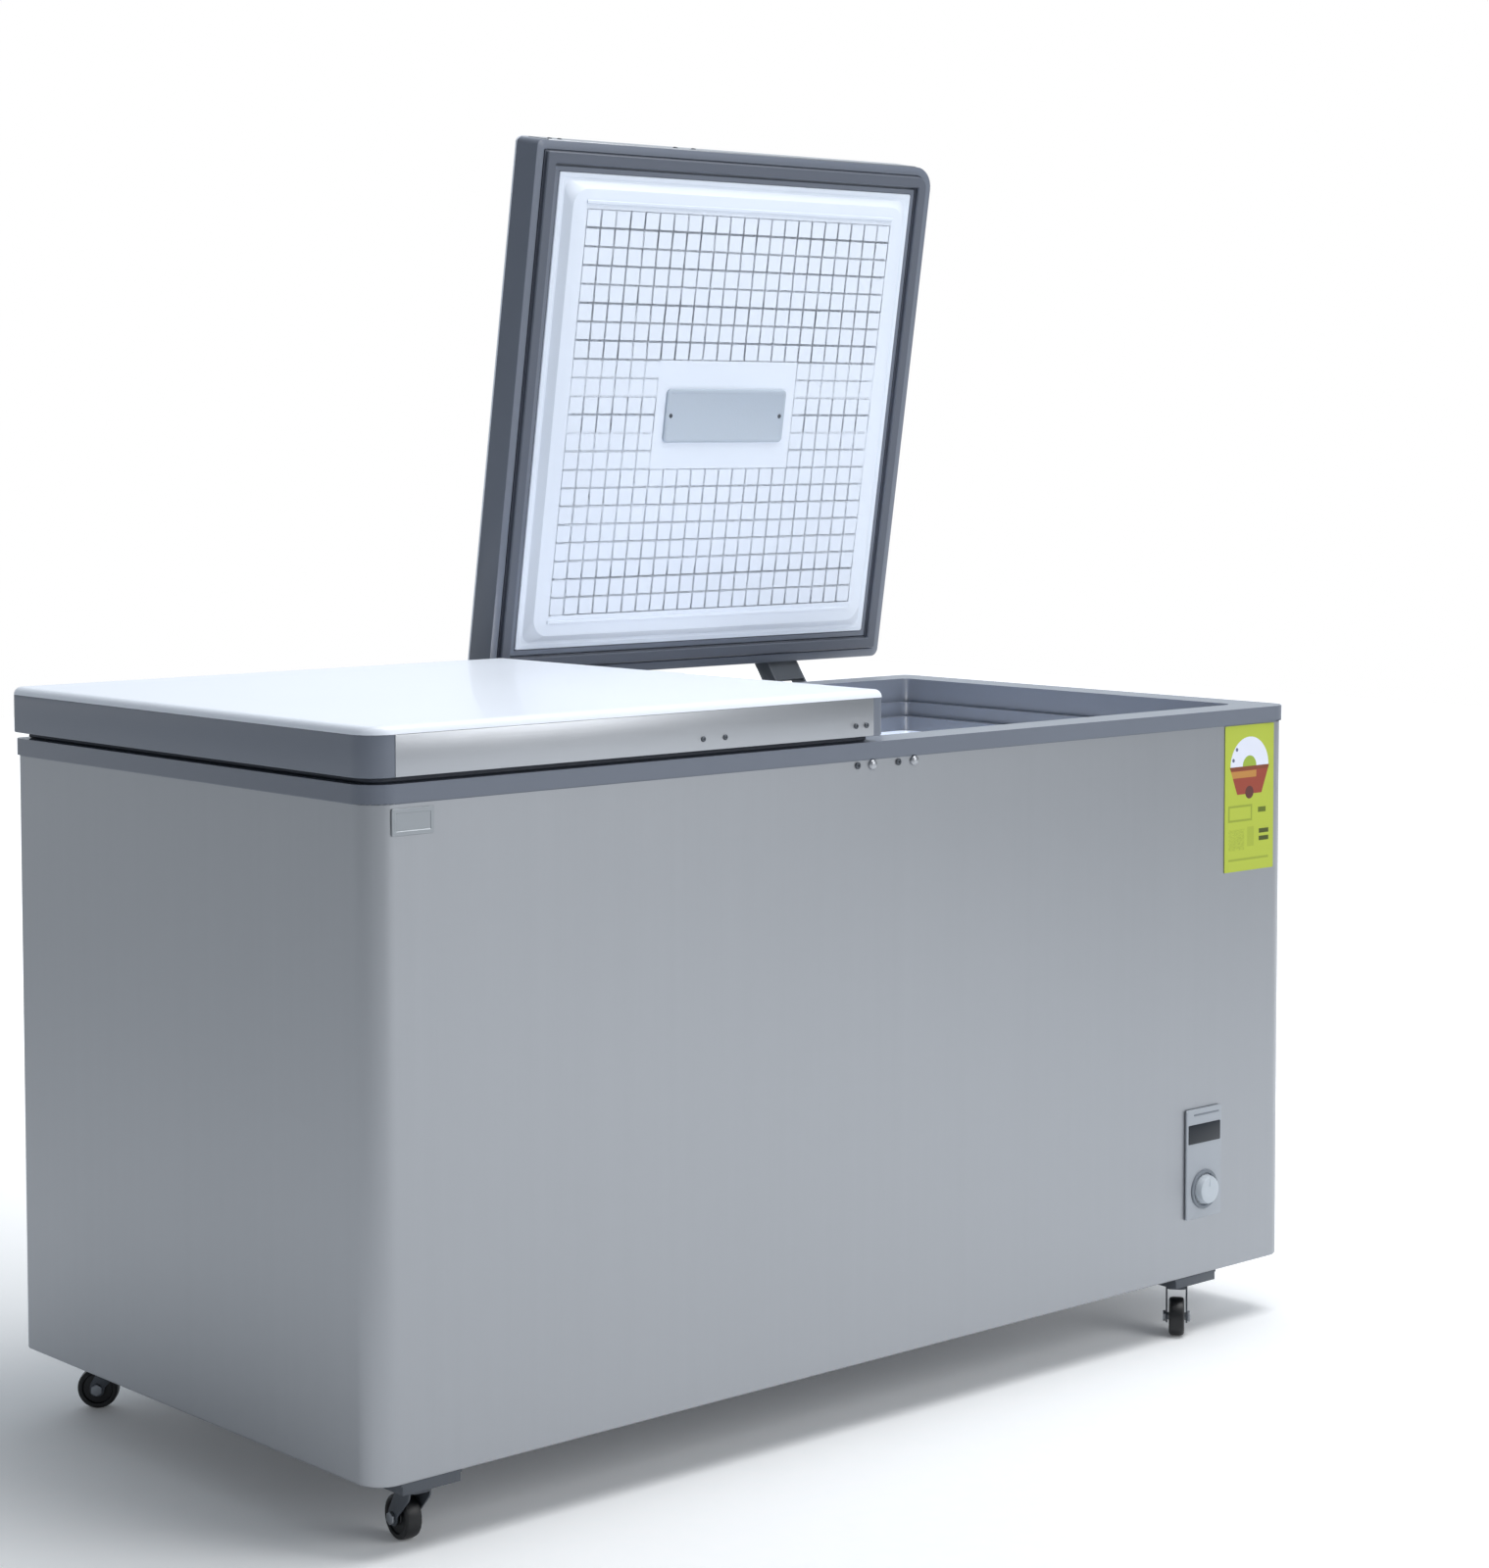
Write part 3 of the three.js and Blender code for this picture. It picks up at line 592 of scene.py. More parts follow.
# %% Tank
tank_low, tank_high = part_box("inner_tank")
SHEET = 1.5 * MM
STEP_X = 0.41
STEP_Z = 0.36
TANK_BEND = 0.024
left, right, floor_z, lip = tank_low.x + SHEET, tank_high.x - SHEET, tank_low.z + SHEET, tank_high.z
tank = bmesh.new()
prism(tank, [(left, floor_z), (STEP_X, floor_z), (STEP_X, STEP_Z), (right, STEP_Z), (right, lip), (left, lip)],
      tank_low.y + SHEET, tank_high.y - SHEET, axis="y", rounding=[TANK_BEND] * 4 + [0, 0])
bmesh.ops.delete(tank, geom=[face for face in tank.faces if face.calc_center_median().z > lip - 0.001],
                 context="FACES")
ends = [face for face in tank.faces if abs(face.normal.y) > 0.9]
bevel(tank, list({item for face in ends for item in face.edges if not item.is_boundary}), TANK_BEND * 0.8, 4, "EDGES")
bmesh.ops.recalc_face_normals(tank, faces=tank.faces)
if min(tank.faces, key=lambda face: face.calc_center_median().z).normal.z > 0:
    bmesh.ops.reverse_faces(tank, faces=tank.faces)
bmesh.ops.solidify(tank, geom=tank.faces[:], thickness=-SHEET * 0.8)
piece("tank_sheet", tank, "cabinet", tank_sheet, ["inner_tank"], recalculate=False)

# %% [markdown]
# ## Making both lids from one
#
# The lids are mirror images, and one of them is open. Every lid piece is made where the left lid lies shut. The
# right one is the same shape mirrored, then turned on the hinge pin by the angle that the joint's limit gives.

# %% Placing lid pieces
left_hinge, right_hinge = joints["lid_left_hinge"], joints["lid_right_hinge"]
OPEN = math.radians(-right_hinge["range_deg"][0])
LIDS = ("left", "right")
lid_low, lid_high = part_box("lid_frame_left")
UNDER = lid_low.z / MM
LID_TOP = lid_high.z / MM


def hang(bm, side):
    """Moves a piece of the shut left lid to where it belongs on the given lid."""
    if side == "right":
        bmesh.ops.scale(bm, vec=(-1, 1, 1), verts=bm.verts)
        bmesh.ops.rotate(bm, cent=right_hinge["pos_m"], matrix=Matrix.Rotation(-OPEN, 3, "X"), verts=bm.verts)


def lid_corners(inset, least=2.0):
    """Corner radii of a lid: wide at the free outer corner, tight beside the other lid."""
    return [max(bend - inset, least) * MM for bend in (32, 9, 7, 12)]


print("right lid stands open by", round(math.degrees(OPEN), 1), "degrees")

# %% [markdown]
# ## Lid frames, tops and strips
#
# A grey plastic frame runs round each lid and turns in under it, with a groove for the gasket. A white enamelled
# sheet is laid on top with rolled edges. A strip of steel covers the front between two grey end caps, and stands a
# hair proud of the plastic.

# %% Lid frames
FRAME_IN = 41
STRIP_STAND = 0.9


def lid_frame(side):
    bm = bmesh.new()
    low, high = Vector(lid_low), Vector(lid_high)
    low.y += STRIP_STAND * MM
    picture_frame(bm, low, high,
                  [(0, LID_TOP), (0, UNDER + 1.6), (0.5, UNDER + 0.5), (1.6, UNDER), (11.8, UNDER), (13, UNDER + 1.2),
                   (13, UNDER + 4), (33, UNDER + 4), (33, UNDER + 0.8), (33.8, UNDER), (FRAME_IN - 1, UNDER),
                   (FRAME_IN, UNDER + 1), (FRAME_IN, UNDER + 8), (12, UNDER + 8), (12, LID_TOP)], lid_corners)
    hang(bm, side)
    piece(f"frame_{side}", bm, f"lid_{side}", grey, [f"lid_frame_{side}"])


for side in LIDS:
    lid_frame(side)

# %% Lid tops
skin_low, skin_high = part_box("lid_skin_left")
EDGE_ROLL = (skin_high.z - skin_low.z) / MM
ROLL_STEPS = 6


def lid_top(side):
    bm = bmesh.new()
    roll = [(EDGE_ROLL * (1 - math.cos(turn)), skin_low.z / MM + EDGE_ROLL * math.sin(turn))
            for turn in (step * math.pi / 2 / ROLL_STEPS for step in range(ROLL_STEPS + 1))]
    picture_frame(bm, skin_low, skin_high, [(8, skin_low.z / MM), (0.4, skin_low.z / MM)] + roll,
                  lid_corners, ends="capped")
    hang(bm, side)
    piece(f"top_{side}", bm, f"lid_{side}", white_top, [f"lid_skin_{side}"])


for side in LIDS:
    lid_top(side)

# %% Steel strips and their screws
strip_low, strip_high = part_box("lid_strip_left")
STRIP_SCREWS = (-0.296, -0.263, -0.058, -0.041)
SCREW_UP = 13 * MM


def lid_strip(side):
    bm = bmesh.new()
    slab(bm, (strip_low.x, strip_low.y, strip_low.z), (strip_high.x, strip_low.y + 2.4 * MM, LID_TOP * MM), axis="y")
    soften(bm, 0.6 * MM, segments=2)
    hang(bm, side)
    piece(f"strip_{side}", bm, f"lid_{side}", strip_steel, [f"lid_strip_{side}"])

    heads = bmesh.new()
    stamped(heads, lambda bm: screw(bm, 3.4, 1.6),
            [Matrix.Translation((x, strip_low.y, strip_low.z + SCREW_UP)) @ FACING_FRONT for x in STRIP_SCREWS])
    hang(heads, side)
    piece(f"strip_screws_{side}", heads, f"lid_{side}", bracket)


for side in LIDS:
    lid_strip(side)

# %% [markdown]
# ## Gaskets
#
# The gasket is a soft hollow strip with a magnet in its cushion. Its foot is pushed into the groove of the frame
# and the cushion hangs below to meet the rim. The section narrows at a neck, which is where it folds.

# %% Gaskets
def gasket(side):
    bm = bmesh.new()
    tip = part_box("lid_gasket_left")[0].z / MM
    half = [(14.2, UNDER + 3.4), (14.2, UNDER + 0.6), (17.5, UNDER - 0.4), (15.6, UNDER - 1.6), (15.2, tip + 1.6),
            (16.6, tip)]
    mirrored = [(46 - inset, z) for inset, z in reversed(half)]
    picture_frame(bm, lid_low, lid_high, half + mirrored, lid_corners)
    hang(bm, side)
    piece(f"gasket_{side}", bm, f"lid_{side}", dark_grey, [f"lid_gasket_{side}"])


for side in LIDS:
    gasket(side)

# %% [markdown]
# ## The white inner moulding
#
# The lid's inside is a vacuum-formed sheet. A flat lip meets the frame, a slope rises to a raised panel, and the
# panel carries rows of small pyramids pressed inwards, except in the middle where the lamp sits. A grid makes the
# cells: each cell is inset to leave a land round it, and its middle is poked down to a point.

# %% Inner mouldings
CELLS = 22
CELL_DEPTH = 5.5 * MM
CELL_LAND = 1.6 * MM
BLANK = (5, 3)
PANEL_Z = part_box("lid_liner_left")[0].z / MM
FIELD_IN = (86, 88, 90)


def embossed_field(bm):
    """Fills in the raised panel with a field of pressed cells, and returns the outer edges of the field."""
    low = Vector((lid_low.x + FIELD_IN[0] * MM, lid_low.y + FIELD_IN[1] * MM, 0))
    high = Vector((lid_high.x - FIELD_IN[0] * MM, lid_high.y - FIELD_IN[2] * MM, 0))
    centre, size = (low + high) / 2, high - low
    before = set(bm.faces)
    bmesh.ops.create_grid(bm, x_segments=CELLS, y_segments=CELLS, size=0.5,
                          matrix=Matrix.Translation((centre.x, centre.y, PANEL_Z * MM)) @
                          Matrix.Diagonal((size.x, size.y, 1, 1)))
    cells = [face for face in bm.faces if face not in before]
    bmesh.ops.reverse_faces(bm, faces=cells)
    bm.normal_update()
    border = [edge for face in cells for edge in face.edges if edge.is_boundary]
    pressed, blank = [], []
    for face in cells:
        away = face.calc_center_median() - centre
        inside = abs(away.x) < BLANK[0] * size.x / CELLS and abs(away.y) < BLANK[1] * size.y / CELLS
        (blank if inside else pressed).append(face)
    bmesh.ops.inset_individual(bm, faces=pressed, thickness=CELL_LAND, depth=0, use_even_offset=True)
    bm.normal_update()
    bmesh.ops.poke(bm, faces=pressed, offset=-CELL_DEPTH, center_mode="MEAN")
    plain = bmesh.ops.dissolve_faces(bm, faces=blank)["region"]
    bm.normal_update()
    bmesh.ops.inset_region(bm, faces=plain, thickness=2.5 * MM, depth=-1.2 * MM, use_even_offset=True)
    return border


def panel_rib(bm):
    """A straight raised line as long as the field is wide."""
    half = (lid_high.x - lid_low.x) / 2 - (FIELD_IN[0] - 2) * MM
    slab(bm, (-half, -2.4 * MM, -1.8 * MM), (half, 2.4 * MM, 0))
    soften(bm, 1.2 * MM, segments=2)


def inner_moulding(side):
    bm = bmesh.new()
    profile = [(66, UNDER + 7), (41.6, UNDER + 7), (41.6, UNDER - 0.6), (42.4, UNDER - 1.6), (47.5, UNDER - 1.8),
               (49.5, UNDER - 1.0), (52, UNDER - 1.4), (59, UNDER - 9.0), (61.5, UNDER - 11.3), (65, PANEL_Z)]
    rings = picture_frame(bm, lid_low, lid_high, profile,
                          lambda inset: [min(3 + max(inset - 47, 0) * 1.8, 26) * MM] * 4, ends="open")
    bmesh.ops.contextual_create(bm, geom=rings[0])
    border = embossed_field(bm)
    bmesh.ops.triangle_fill(bm, use_beauty=True, edges=rings[-1] + border, normal=(0, 0, -1))
    stamped(bm, panel_rib, [Matrix.Translation(((lid_low.x + lid_high.x) / 2, y, PANEL_Z * MM))
                            for y in (lid_low.y + 79 * MM, lid_high.y - 81 * MM)])
    hang(bm, side)
    piece(f"inner_moulding_{side}", bm, f"lid_{side}", white_liner, [f"lid_liner_{side}"], smooth=14)


for side in LIDS:
    inner_moulding(side)

# %% [markdown]
# ## Lamp cover
#
# A frosted plate covers the lamp in the open lid. Its border is rolled and its middle is sunk, and a screw holds
# each end. It is made shut, like the rest of the lid, and hung with the right lid.

# %% Lamp cover
LAMP_SIZE = (0.225, 0.076)
lid_middle = (lid_low + lid_high) / 2
lamp_low = Vector((lid_middle.x - LAMP_SIZE[0] / 2, lid_middle.y - LAMP_SIZE[1] / 2, 0))
lamp_high = Vector((lid_middle.x + LAMP_SIZE[0] / 2, lid_middle.y + LAMP_SIZE[1] / 2, 0))
lamp = bmesh.new()
picture_frame(lamp, lamp_low, lamp_high,
              [(0, PANEL_Z + 0.9), (0, PANEL_Z - 2.2), (0.5, PANEL_Z - 3.2), (1.6, PANEL_Z - 3.8), (5, PANEL_Z - 3.9),
               (6.5, PANEL_Z - 3.0)], lambda inset: [max(7 - inset, 1.5) * MM] * 4, ends="capped")
hang(lamp, "right")
piece("lamp_lens", lamp, "lid_right", frosted, ["lamp_cover"])

lamp_screws = bmesh.new()
LAMP_SCREW_IN = 0.0095
stamped(lamp_screws, lambda bm: screw(bm, 3.2, 1.6),
        [Matrix.Translation((x, lid_middle.y, (PANEL_Z - 2.6) * MM)) @ Matrix.Rotation(math.pi, 4, "X")
         for x in (lamp_low.x + LAMP_SCREW_IN, lamp_high.x - LAMP_SCREW_IN)])
hang(lamp_screws, "right")
piece("lamp_screws", lamp_screws, "lid_right", bracket)

# %% [markdown]
# ## Hinges
#
# Each lid hangs on two hinges. A bracket on the cabinet's back holds a pin, and an arm on the lid turns round it.
# The engineering shapes are right, so they are kept and only their edges are rounded. Screws, a torsion spring
# round the pin and a web between the two sides of each arm are new. The spring is one wire wound as a helix, and
# its turns are made by a formula.

# %% Hinges, springs and screws
HINGE_CHEEK = 3.0
SPRING_TURNS = 6
WIRE = 1.7


def helix(bm, centre, radius, length, turns, wire, steps=14, sides=8):
    """A wire of round section wound along X about a centre, closed at both ends."""
    rounds = []
    for step in range(turns * steps + 1):
        turn = 2 * math.pi * step / steps
        out = Vector((0, math.cos(turn), math.sin(turn)))
        spot = Vector(centre) + out * radius + Vector(((step / (turns * steps) - 0.5) * length, 0, 0))
        made = bmesh.ops.create_circle(bm, cap_ends=False, segments=sides, radius=wire,
                                       matrix=Matrix.Translation(spot) @ Matrix((
                                           (1, 0, 0), (0, out.y, -out.z), (0, out.z, out.y))).to_4x4())
        rounds.append(list({edge for vert in made["verts"] for edge in vert.link_edges}))
    loft(bm, rounds, "capped")


for side in LIDS:
    for number in (1, 2):
        name = f"{side}_{number}"
        reworked(f"hinge_base_{name}", "cabinet", bracket, 0.5 * MM)
        reworked(f"hinge_arm_{name}", f"lid_{side}", bracket, 0.5 * MM)
        base_low, base_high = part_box(f"hinge_base_{name}")
        arm_low, arm_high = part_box(f"hinge_arm_{name}")
        pin = joints[f"lid_{side}_hinge"]["pos_m"]
        pin_middle = ((base_low.x + base_high.x) / 2, pin[1], pin[2])
        web = bmesh.new()
        y, z = left_hinge["pos_m"][1:]
        prism(web, [(y - 0.040, z + 0.030), (y - 0.036, z + 0.030), (y - 0.017, z + 0.010), (y - 0.020, z + 0.008)],
              arm_low.x + HINGE_CHEEK * MM, arm_high.x - HINGE_CHEEK * MM, "x")
        if side == "right":
            bmesh.ops.rotate(web, cent=right_hinge["pos_m"], matrix=Matrix.Rotation(-OPEN, 3, "X"), verts=web.verts)
        piece(f"hinge_web_{name}", web, f"lid_{side}", bracket)
        spring = bmesh.new()
        helix(spring, pin_middle, 6.6 * MM, 34 * MM, SPRING_TURNS, WIRE * MM)
        piece(f"hinge_spring_{name}", spring, "cabinet", zinc)
        heads = bmesh.new()
        stamped(heads, lambda bm: screw(bm, 4.2, 2.4),
                [Matrix.Translation((x, base_low.y + HINGE_CHEEK * MM, z)) @ FACING_BACK
                 for x in (base_low.x + 6 * MM, base_high.x - 6 * MM)
                 for z in (base_low.z + 0.012, base_low.z + 0.08)])
        piece(f"hinge_screws_{name}", heads, "cabinet", zinc)

# %% [markdown]
# ## The control panel
#
# The panel is a thin moulding let into the front, with a dark window above and a round knob below. The knob sits
# in a ring whose darker grey is painted shade, the shadow that rings the knob. The knob is turned on a lathe, and its
# grip flutes are cut by drawing in every other column of its side.

# %% Panel, window and badge
control_low, control_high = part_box("control_panel")
knob_joint = joints["thermostat_turn"]
knob_x, _, knob_z = knob_joint["pos_m"]
bezel = bmesh.new()
slab(bezel, control_low + Vector((0, 1.6 * MM, 0)), control_high, axis="y", radius=3 * MM)
soften(bezel, 1.4 * MM, segments=3)
piece("control_bezel", bezel, "cabinet", panel_grey, ["control_panel"])

window_low, window_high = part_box("display_window")
window = bmesh.new()
slab(window, (window_low.x, control_low.y + 0.9 * MM, window_low.z),
     (window_high.x, control_low.y + 4 * MM, window_high.z), axis="y", radius=1.5 * MM)
soften(window, 0.6 * MM)
piece("display_glass", window, "cabinet", black_glass, ["display_window"])

mark = bmesh.new()
slab(mark, (control_low.x + 14 * MM, control_low.y + 1.2 * MM, control_high.z - 9 * MM),
     (control_high.x - 6 * MM, control_low.y + 3 * MM, control_high.z - 6.5 * MM), axis="y", radius=1 * MM)
soften(mark, 0.2 * MM)
piece("panel_mark", mark, "cabinet", shade_ring_and_mark)

badge_low, badge_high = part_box("badge_plate")
badge = bmesh.new()
badge_size = badge_high - badge_low
picture_frame(badge, (0, 0), (badge_size.x, badge_size.z),
              [(0, 0), (0, 1.0), (0.5, 1.5), (4.6, 1.5), (5.2, 0.9)],
              lambda inset: [max(2 - inset, 0.8) * MM] * 4, ends="capped")
badge.transform(Matrix.Translation((badge_low.x, badge_high.y, badge_low.z)) @ FACING_FRONT)
badge_finish = painted("badge_satin", srgb(158, 163, 168), 0.34, Metallic=0.5)
piece("badge_blank", badge, "cabinet", badge_finish, ["badge_plate"])

# %% Knob
knob_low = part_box("thermostat_knob")[0]
PANEL_FACE = control_low.y + 1.6 * MM
FLUTES = 24
# The ring's darker grey is painted shade: it stands for the shadow round the knob.
collar = bmesh.new()
turned(collar, [(20.6, 0), (26, 0), (26, 1.6), (25, 2.6), (22, 2.6), (21.2, 1.6), (20.6, 0)], steps=48)
collar.transform(Matrix.Translation((knob_x, PANEL_FACE, knob_z)) @ FACING_FRONT)
piece("knob_shade_collar", collar, "cabinet", shade_ring_and_mark)

knob = bmesh.new()
reach = (PANEL_FACE - knob_low.y) / MM
turned(knob, [(0, -2), (5, -2), (5, 0.6), (19.6, 0.6), (19.8, 2), (18.6, reach - 3), (17.2, reach - 0.8), (15.6, reach),
              (9, reach - 0.6), (0, reach - 0.6)], steps=2 * FLUTES)
for vert in knob.verts:
    column = round(math.atan2(vert.co.y, vert.co.x) / (math.pi / FLUTES))
    if column % 2 and 1 * MM < vert.co.z < (reach - 2) * MM and vert.co.xy.length > 0.01:
        vert.co.xy *= 0.955
stamped(knob, lambda bm: slab(bm, (-1.3 * MM, 5 * MM, -1.0 * MM), (1.3 * MM, 15 * MM, 0.2 * MM), radius=1.2 * MM),
        [Matrix.Translation((0, 0, reach * MM))])
knob.transform(Matrix.Translation((knob_x, PANEL_FACE, knob_z)) @ FACING_FRONT)
piece("fluted_knob", knob, "knob", knob_grey, ["thermostat_knob"])

# %% [markdown]
# ## The label
#
# The label is a thin printed sheet. It carries plain shapes and no words: a white arch with a green patch, a red
# tray, an outline and a few bars. Each shape is a mask, a sum of comparisons that is 1 inside it and 0 outside,
# and each mask lays one colour over the last.

# %% Label
label_low, label_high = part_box("energy_label")
LABEL_SIZE = label_high - label_low


def printed_label():
    finish = Finish("printed_label", Roughness=0.42, Specular_IOR_Level=0.4)
    across = (finish.axis("X") - label_low.x) / LABEL_SIZE.x
    up = (finish.axis("Z") - label_low.z) / LABEL_SIZE.x

    def bar(x0, x1, y0, y1):
        return (across > x0) * (across < x1) * (up > y0) * (up < y1)

    def disc(x, y, radius):
        wide, high = across - x, up - y
        return (wide * wide + high * high) < radius * radius

    middle_x, arch_y = 0.5, 1.39
    above = up > arch_y
    tray = (up < arch_y) * (up > 1.02) * ((abs(across - middle_x) - (up - 1.02) * 0.42) < 0.25)
    fine = finish.noise(160.0)
    outline = bar(0.07, 0.56, 0.66, 0.88) * (1 - bar(0.10, 0.53, 0.69, 0.85))
    table = (bar(0.08, 0.40, 0.28, 0.56) * ((fine * 9.0).math("FRACT", fine * 9.0) > 0.5)
             + bar(0.46, 0.60, 0.32, 0.58) * 0.7)
    layers = (
        (above * disc(middle_x, arch_y, 0.39), srgb(222, 226, 240)),
        (above * disc(middle_x, arch_y, 0.14), srgb(152, 176, 62)),
        (disc(0.24, 1.62, 0.025) + disc(0.17, 1.48, 0.025), srgb(96, 100, 128)),
        (tray, srgb(150, 66, 48)),
        (tray * (up > 1.24) * (up < 1.33) * (across < 0.64), srgb(186, 132, 66)),
        (tray * (up > 1.34), srgb(128, 66, 40)),
        (disc(middle_x, 1.04, 0.085), srgb(92, 50, 46)),
        (outline * 0.45 + table * 0.3 + bar(0.08, 0.9, 0.14, 0.17) * 0.4, srgb(98, 116, 34)),
        (bar(0.68, 0.84, 0.76, 0.83), srgb(96, 110, 26)),
        (bar(0.70, 0.90, 0.48, 0.54) + bar(0.70, 0.90, 0.38, 0.44), srgb(70, 80, 20)),
    )
    colour = srgb(176, 190, 66)
    for mask, ink in layers:
        colour = finish.blend(mask, colour, ink)
    finish.feed(Base_Color=colour)
    return finish.material


label = bmesh.new()
slab(label, label_low, label_high, axis="y", radius=1 * MM)
piece("shapes_label", label, "cabinet", printed_label(), ["energy_label"])

# %% [markdown]
# ## Fastenings under the rim
#
# Where the two lids meet, the front carries the fixings of two hasps: two bright domed screws and two dark plugs. The
# plugs stand in two holes, and their dark grey is painted shade of the holes.

# %% Hasp fastenings
HASP_Z = 0.797
domes = bmesh.new()
stamped(domes, lambda bm: turned(bm, [(6.5, 0), (6.3, 1.6), (5, 3.4), (2.8, 4.6), (0, 5.0)], steps=24),
        [Matrix.Translation((x, shell_low.y, HASP_Z)) @ FACING_FRONT for x in (-0.027, 0.042)])
piece("hasp_screws", domes, "cabinet", strip_steel)
# The plugs' dark grey is painted shade: it stands for the shade inside two holes.
hole_shades = bmesh.new()
stamped(hole_shades, lambda bm: turned(bm, [(4.2, 0), (4.2, 1.4), (3.2, 2.2), (1.6, 2.2), (1.4, 1.0), (0, 1.0)], steps=20),
        [Matrix.Translation((x, shell_low.y, HASP_Z)) @ FACING_FRONT for x in (-0.051, 0.016)])
piece("hasp_hole_shades", hole_shades, "cabinet", bracket)

# %% [markdown]
# ## The ventilation grille
#
# Air reaches the compressor through slots in the right end. Each slot of a plane is inset and its blade turned
# out, as a press does it.

# %% Grille
grille_low, grille_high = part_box("vent_grille")
LOUVRES = 11
grille = bmesh.new()
grille_middle = (grille_low + grille_high) / 2
FACING_RIGHT = Matrix.Rotation(math.radians(90), 4, "Y")
size_y, size_z = grille_high.y - grille_low.y, grille_high.z - grille_low.z
bmesh.ops.create_grid(grille, x_segments=LOUVRES, y_segments=2, size=0.5,
                      matrix=Matrix.Translation((grille_high.x, grille_middle.y, grille_middle.z)) @ FACING_RIGHT @
                      Matrix.Diagonal((size_z - 0.02, size_y - 0.02, 1, 1)))
slots = list(grille.faces)
bmesh.ops.inset_individual(grille, faces=slots, thickness=3 * MM, depth=0)
bmesh.ops.inset_individual(grille, faces=slots, thickness=0.2 * MM, depth=-2.0 * MM)
for face in slots:
    foot = min(vert.co.z for vert in face.verts)
    for vert in face.verts:
        if vert.co.z < foot + 1e-4:
            vert.co.x += 5.0 * MM
edge = [item for item in grille.edges if item.is_boundary]
for grow, push in ((10 * MM, 0), (0, grille_low.x - grille_high.x)):
    made = bmesh.ops.extrude_edge_only(grille, edges=edge)["geom"]
    for vert in (item for item in made if isinstance(item, bmesh.types.BMVert)):
        away = vert.co - grille_middle
        vert.co.x += push
        vert.co.y += math.copysign(grow, away.y) if abs(away.y) > size_y / 2 - 11 * MM else 0
        vert.co.z += math.copysign(grow, away.z) if abs(away.z) > size_z / 2 - 11 * MM else 0
    edge = [item for item in made if isinstance(item, bmesh.types.BMEdge)]
bmesh.ops.contextual_create(grille, geom=edge)
piece("louvre_grille", grille, "cabinet", dark_grey, ["vent_grille"])

# %% [markdown]
# ## Casters
#
# A caster is a wheel between two cheeks that hang from a ball race. The race turns under a plate, and the wheel
# trails behind it, so the caster steers itself. The joints give each race's middle, each axle and its direction,
# so one description serves all four, turned to where each one points.

# %% Casters
CASTERS = ("front_left", "front_right", "back_left", "back_right")
WHEEL_RADIUS = 25
CHEEK_IN = 12
CHEEK_PLATE = 2.2


def caster_wheel():
    bm = bmesh.new()
    rim_profile = [(5.2, -9.4), (8.6, -9.4), (9.4, -8.2), (17.6, -7.6), (18.8, -9.6), (21.5, -10), (24.2, -8.4),
                   (WHEEL_RADIUS, -5), (WHEEL_RADIUS, 5), (24.2, 8.4), (21.5, 10), (18.8, 9.6), (17.6, 7.6),
                   (9.4, 8.2), (8.6, 9.4), (5.2, 9.4), (5.2, -9.4)]
    turned(bm, rim_profile, steps=48)
    bm.transform(Matrix.Rotation(math.radians(90), 4, "X"))
    return bm


def caster_fork(trail, plate_z):
    bm = bmesh.new()
    crown_z = plate_z - 6.0
    cheek = [(-13, crown_z), (15, crown_z), (17, crown_z - 7), (trail + 8.5, WHEEL_RADIUS + 6),
             (trail + 8.5, WHEEL_RADIUS - 8.5), (trail - 8.5, WHEEL_RADIUS - 8.5), (trail - 9, WHEEL_RADIUS + 2),
             (-12, crown_z - 8)]
    points = [(x * MM, z * MM) for x, z in cheek]
    for inner in (CHEEK_IN, -CHEEK_IN - CHEEK_PLATE):
        prism(bm, points, inner * MM, (inner + CHEEK_PLATE) * MM, "y",
              [0, 0, 4 * MM, 4 * MM, 7 * MM, 7 * MM, 5 * MM, 4 * MM])
    soften(bm, 0.5 * MM)

    def crown(part):
        outer = (CHEEK_IN + CHEEK_PLATE) * MM
        slab(part, (-17 * MM, -outer, (crown_z - 1.6) * MM), (20 * MM, outer, (crown_z + 1.2) * MM), radius=9 * MM)
        soften(part, 1.0 * MM, segments=3)

    race = [(0, crown_z + 0.6), (15.5, crown_z + 0.6), (17.2, crown_z + 2.0), (17.2, crown_z + 3.0),
            (14.6, crown_z + 4.4), (12.6, plate_z - 0.4), (0, plate_z - 0.4)]
    for build in (crown, lambda part: turned(part, race, steps=36)):
        stamped(bm, build, [Matrix.Identity(4)])
    return bm


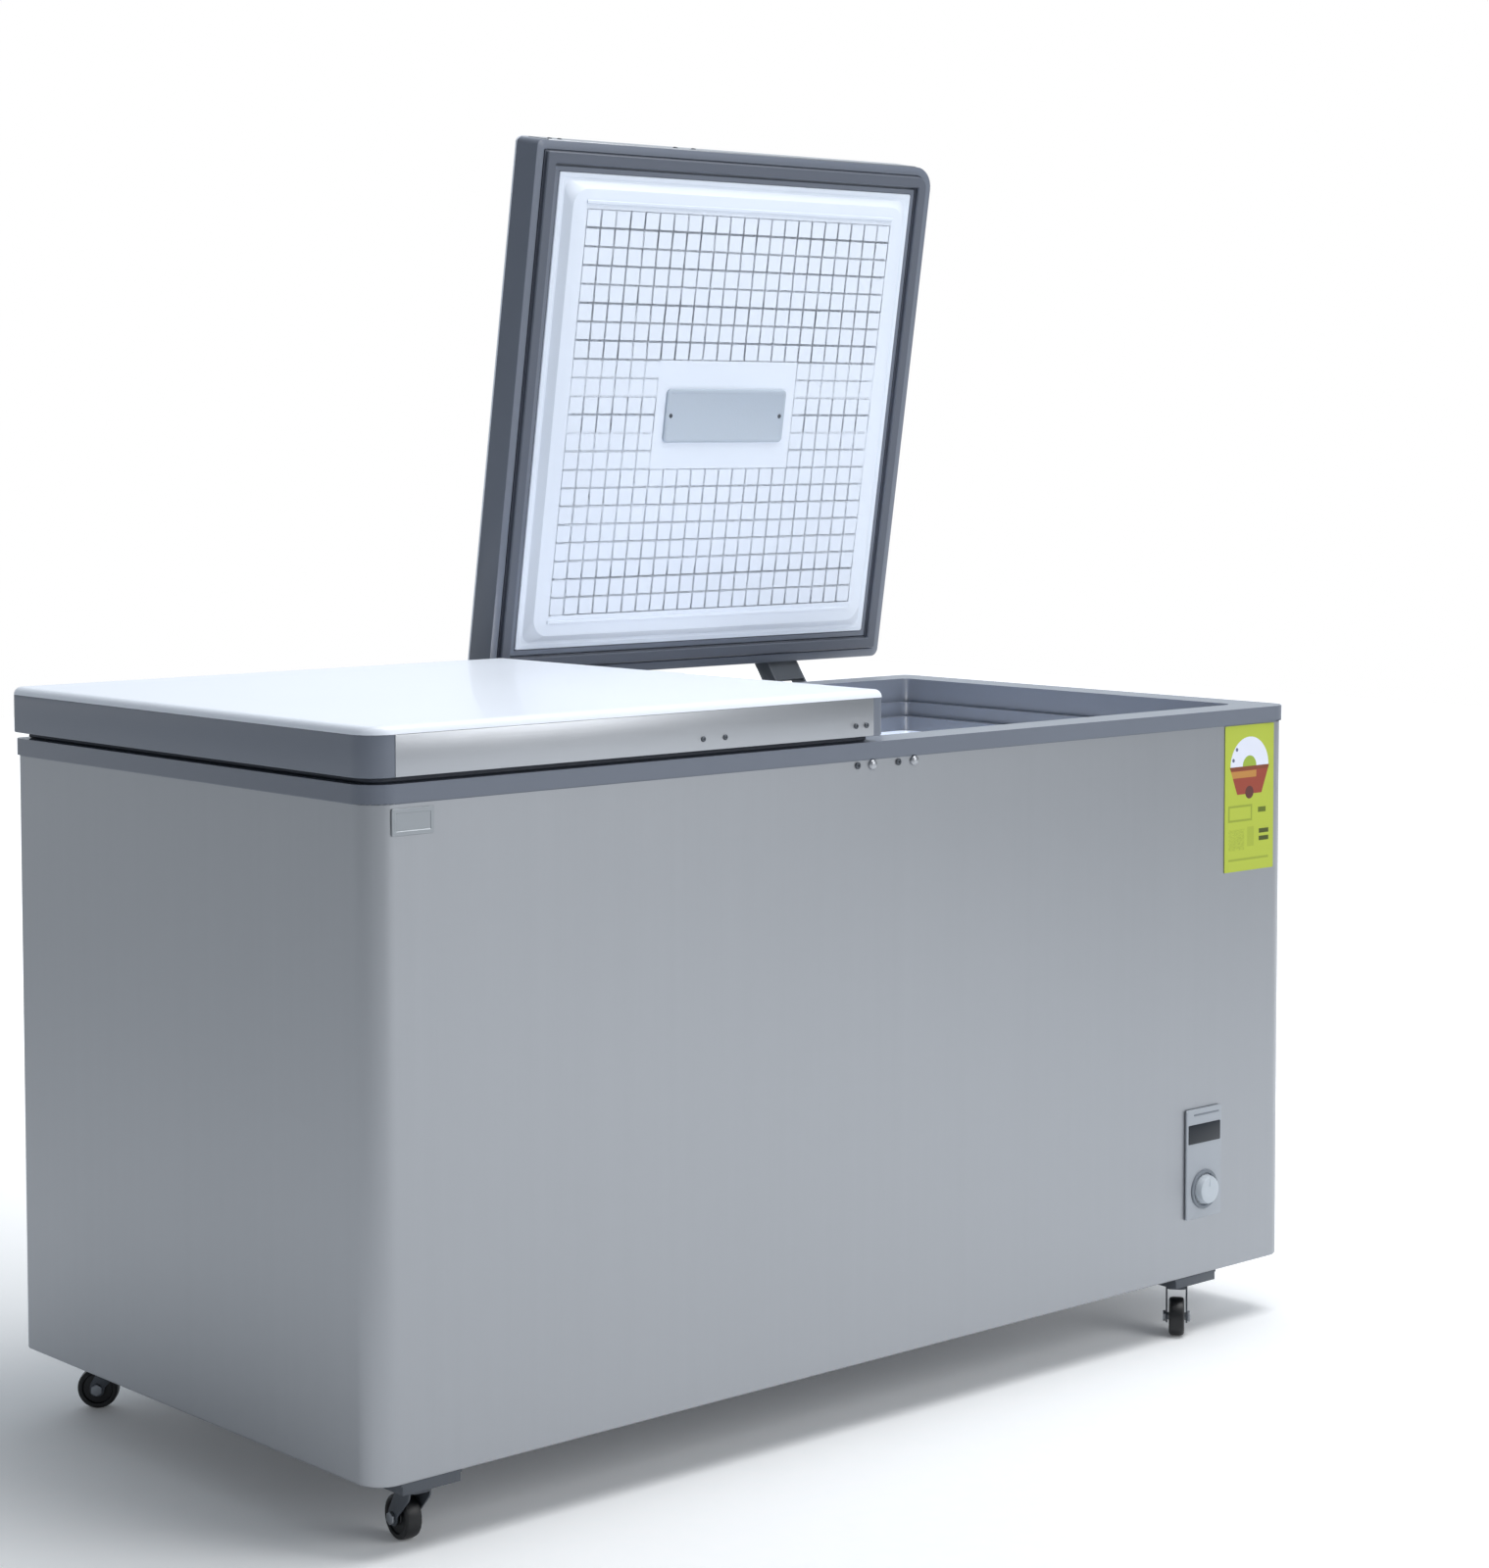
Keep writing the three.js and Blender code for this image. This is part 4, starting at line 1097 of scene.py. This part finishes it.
def axle_bolt(trail):
    bm = bmesh.new()
    end = CHEEK_IN + CHEEK_PLATE
    stamped(bm, lambda part: turned(part, [(0, -end - 1), (4.8, -end - 1), (4.8, end + 1), (0, end + 1)], steps=20),
            [FACING_FRONT])

    def nut(part):
        bmesh.ops.create_cone(part, cap_ends=True, segments=6, radius1=7.4 * MM, radius2=7.4 * MM, depth=3.4 * MM)
        soften(part, 0.6 * MM)

    stamped(bm, nut, [Matrix.Translation((0, push * (end + 1.9) * MM, 0)) @ FACING_FRONT for push in (1, -1)])
    bmesh.ops.translate(bm, vec=(trail * MM, 0, WHEEL_RADIUS * MM), verts=bm.verts)
    return bm


for where in CASTERS:
    swivel, axle = Vector(joints[f"swivel_{where}"]["pos_m"]), Vector(joints[f"roll_{where}"]["pos_m"])
    behind = Vector((axle.x - swivel.x, axle.y - swivel.y))
    stand = Matrix.Translation((swivel.x, swivel.y, 0)) @ Matrix.Rotation(math.atan2(behind.y, behind.x), 4, "Z")
    trail = behind.length / MM
    plate_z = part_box(f"caster_mount_{where}")[0].z / MM
    wheel = caster_wheel()
    bmesh.ops.translate(wheel, vec=(trail * MM, 0, WHEEL_RADIUS * MM), verts=wheel.verts)
    fork = caster_fork(trail, plate_z)
    bolt = axle_bolt(trail)
    for bm in (wheel, fork, bolt):
        bm.transform(stand)
    piece(f"wheel_tyre_{where}", wheel, f"wheel_{where}", tyre, [f"caster_wheel_{where}"])
    piece(f"fork_{where}", fork, f"caster_{where}", bracket, [f"caster_fork_{where}"])
    piece(f"axle_{where}", bolt, f"caster_{where}", zinc, [f"caster_axle_{where}"])
    reworked(f"caster_mount_{where}", "cabinet", bracket, 0.6 * MM)

# %% [markdown]
# ## Parts out of sight
#
# The foam, the floor pan, the compressor and the coils keep their engineering shapes, which are right, and only
# take their finishes.

# %% Finishes of the hidden parts
FOAM_BLOCKS = ("front", "back", "left", "right", "floor")
HIDDEN = {
    **{f"insulation_{where}": foam for where in FOAM_BLOCKS},
    "base_pan": zinc, "compressor": black, "compressor_tray": zinc, "drain_plug": black,
    "evaporator_coil": copper, "condenser_coil": copper, "thermostat": black_glass,
    "lid_core_left": foam, "lid_core_right": foam,
}
for node, material in HIDDEN.items():
    held = frame["nodes"][node].data.materials
    held.clear()
    held.append(material)
print("hidden parts finished:", len(HIDDEN))

# %% [markdown]
# ## Size
#
# The visible pieces have to fill the same box as the engineering model. Both boxes are measured and compared, and the
# largest difference is printed.

# %% Size
drawn_low, drawn_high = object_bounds()
apart = max(max(map(abs, drawn_low - cad_low)), max(map(abs, drawn_high - cad_high)))
print("size: largest difference", round(apart / MM, 2), "mm")
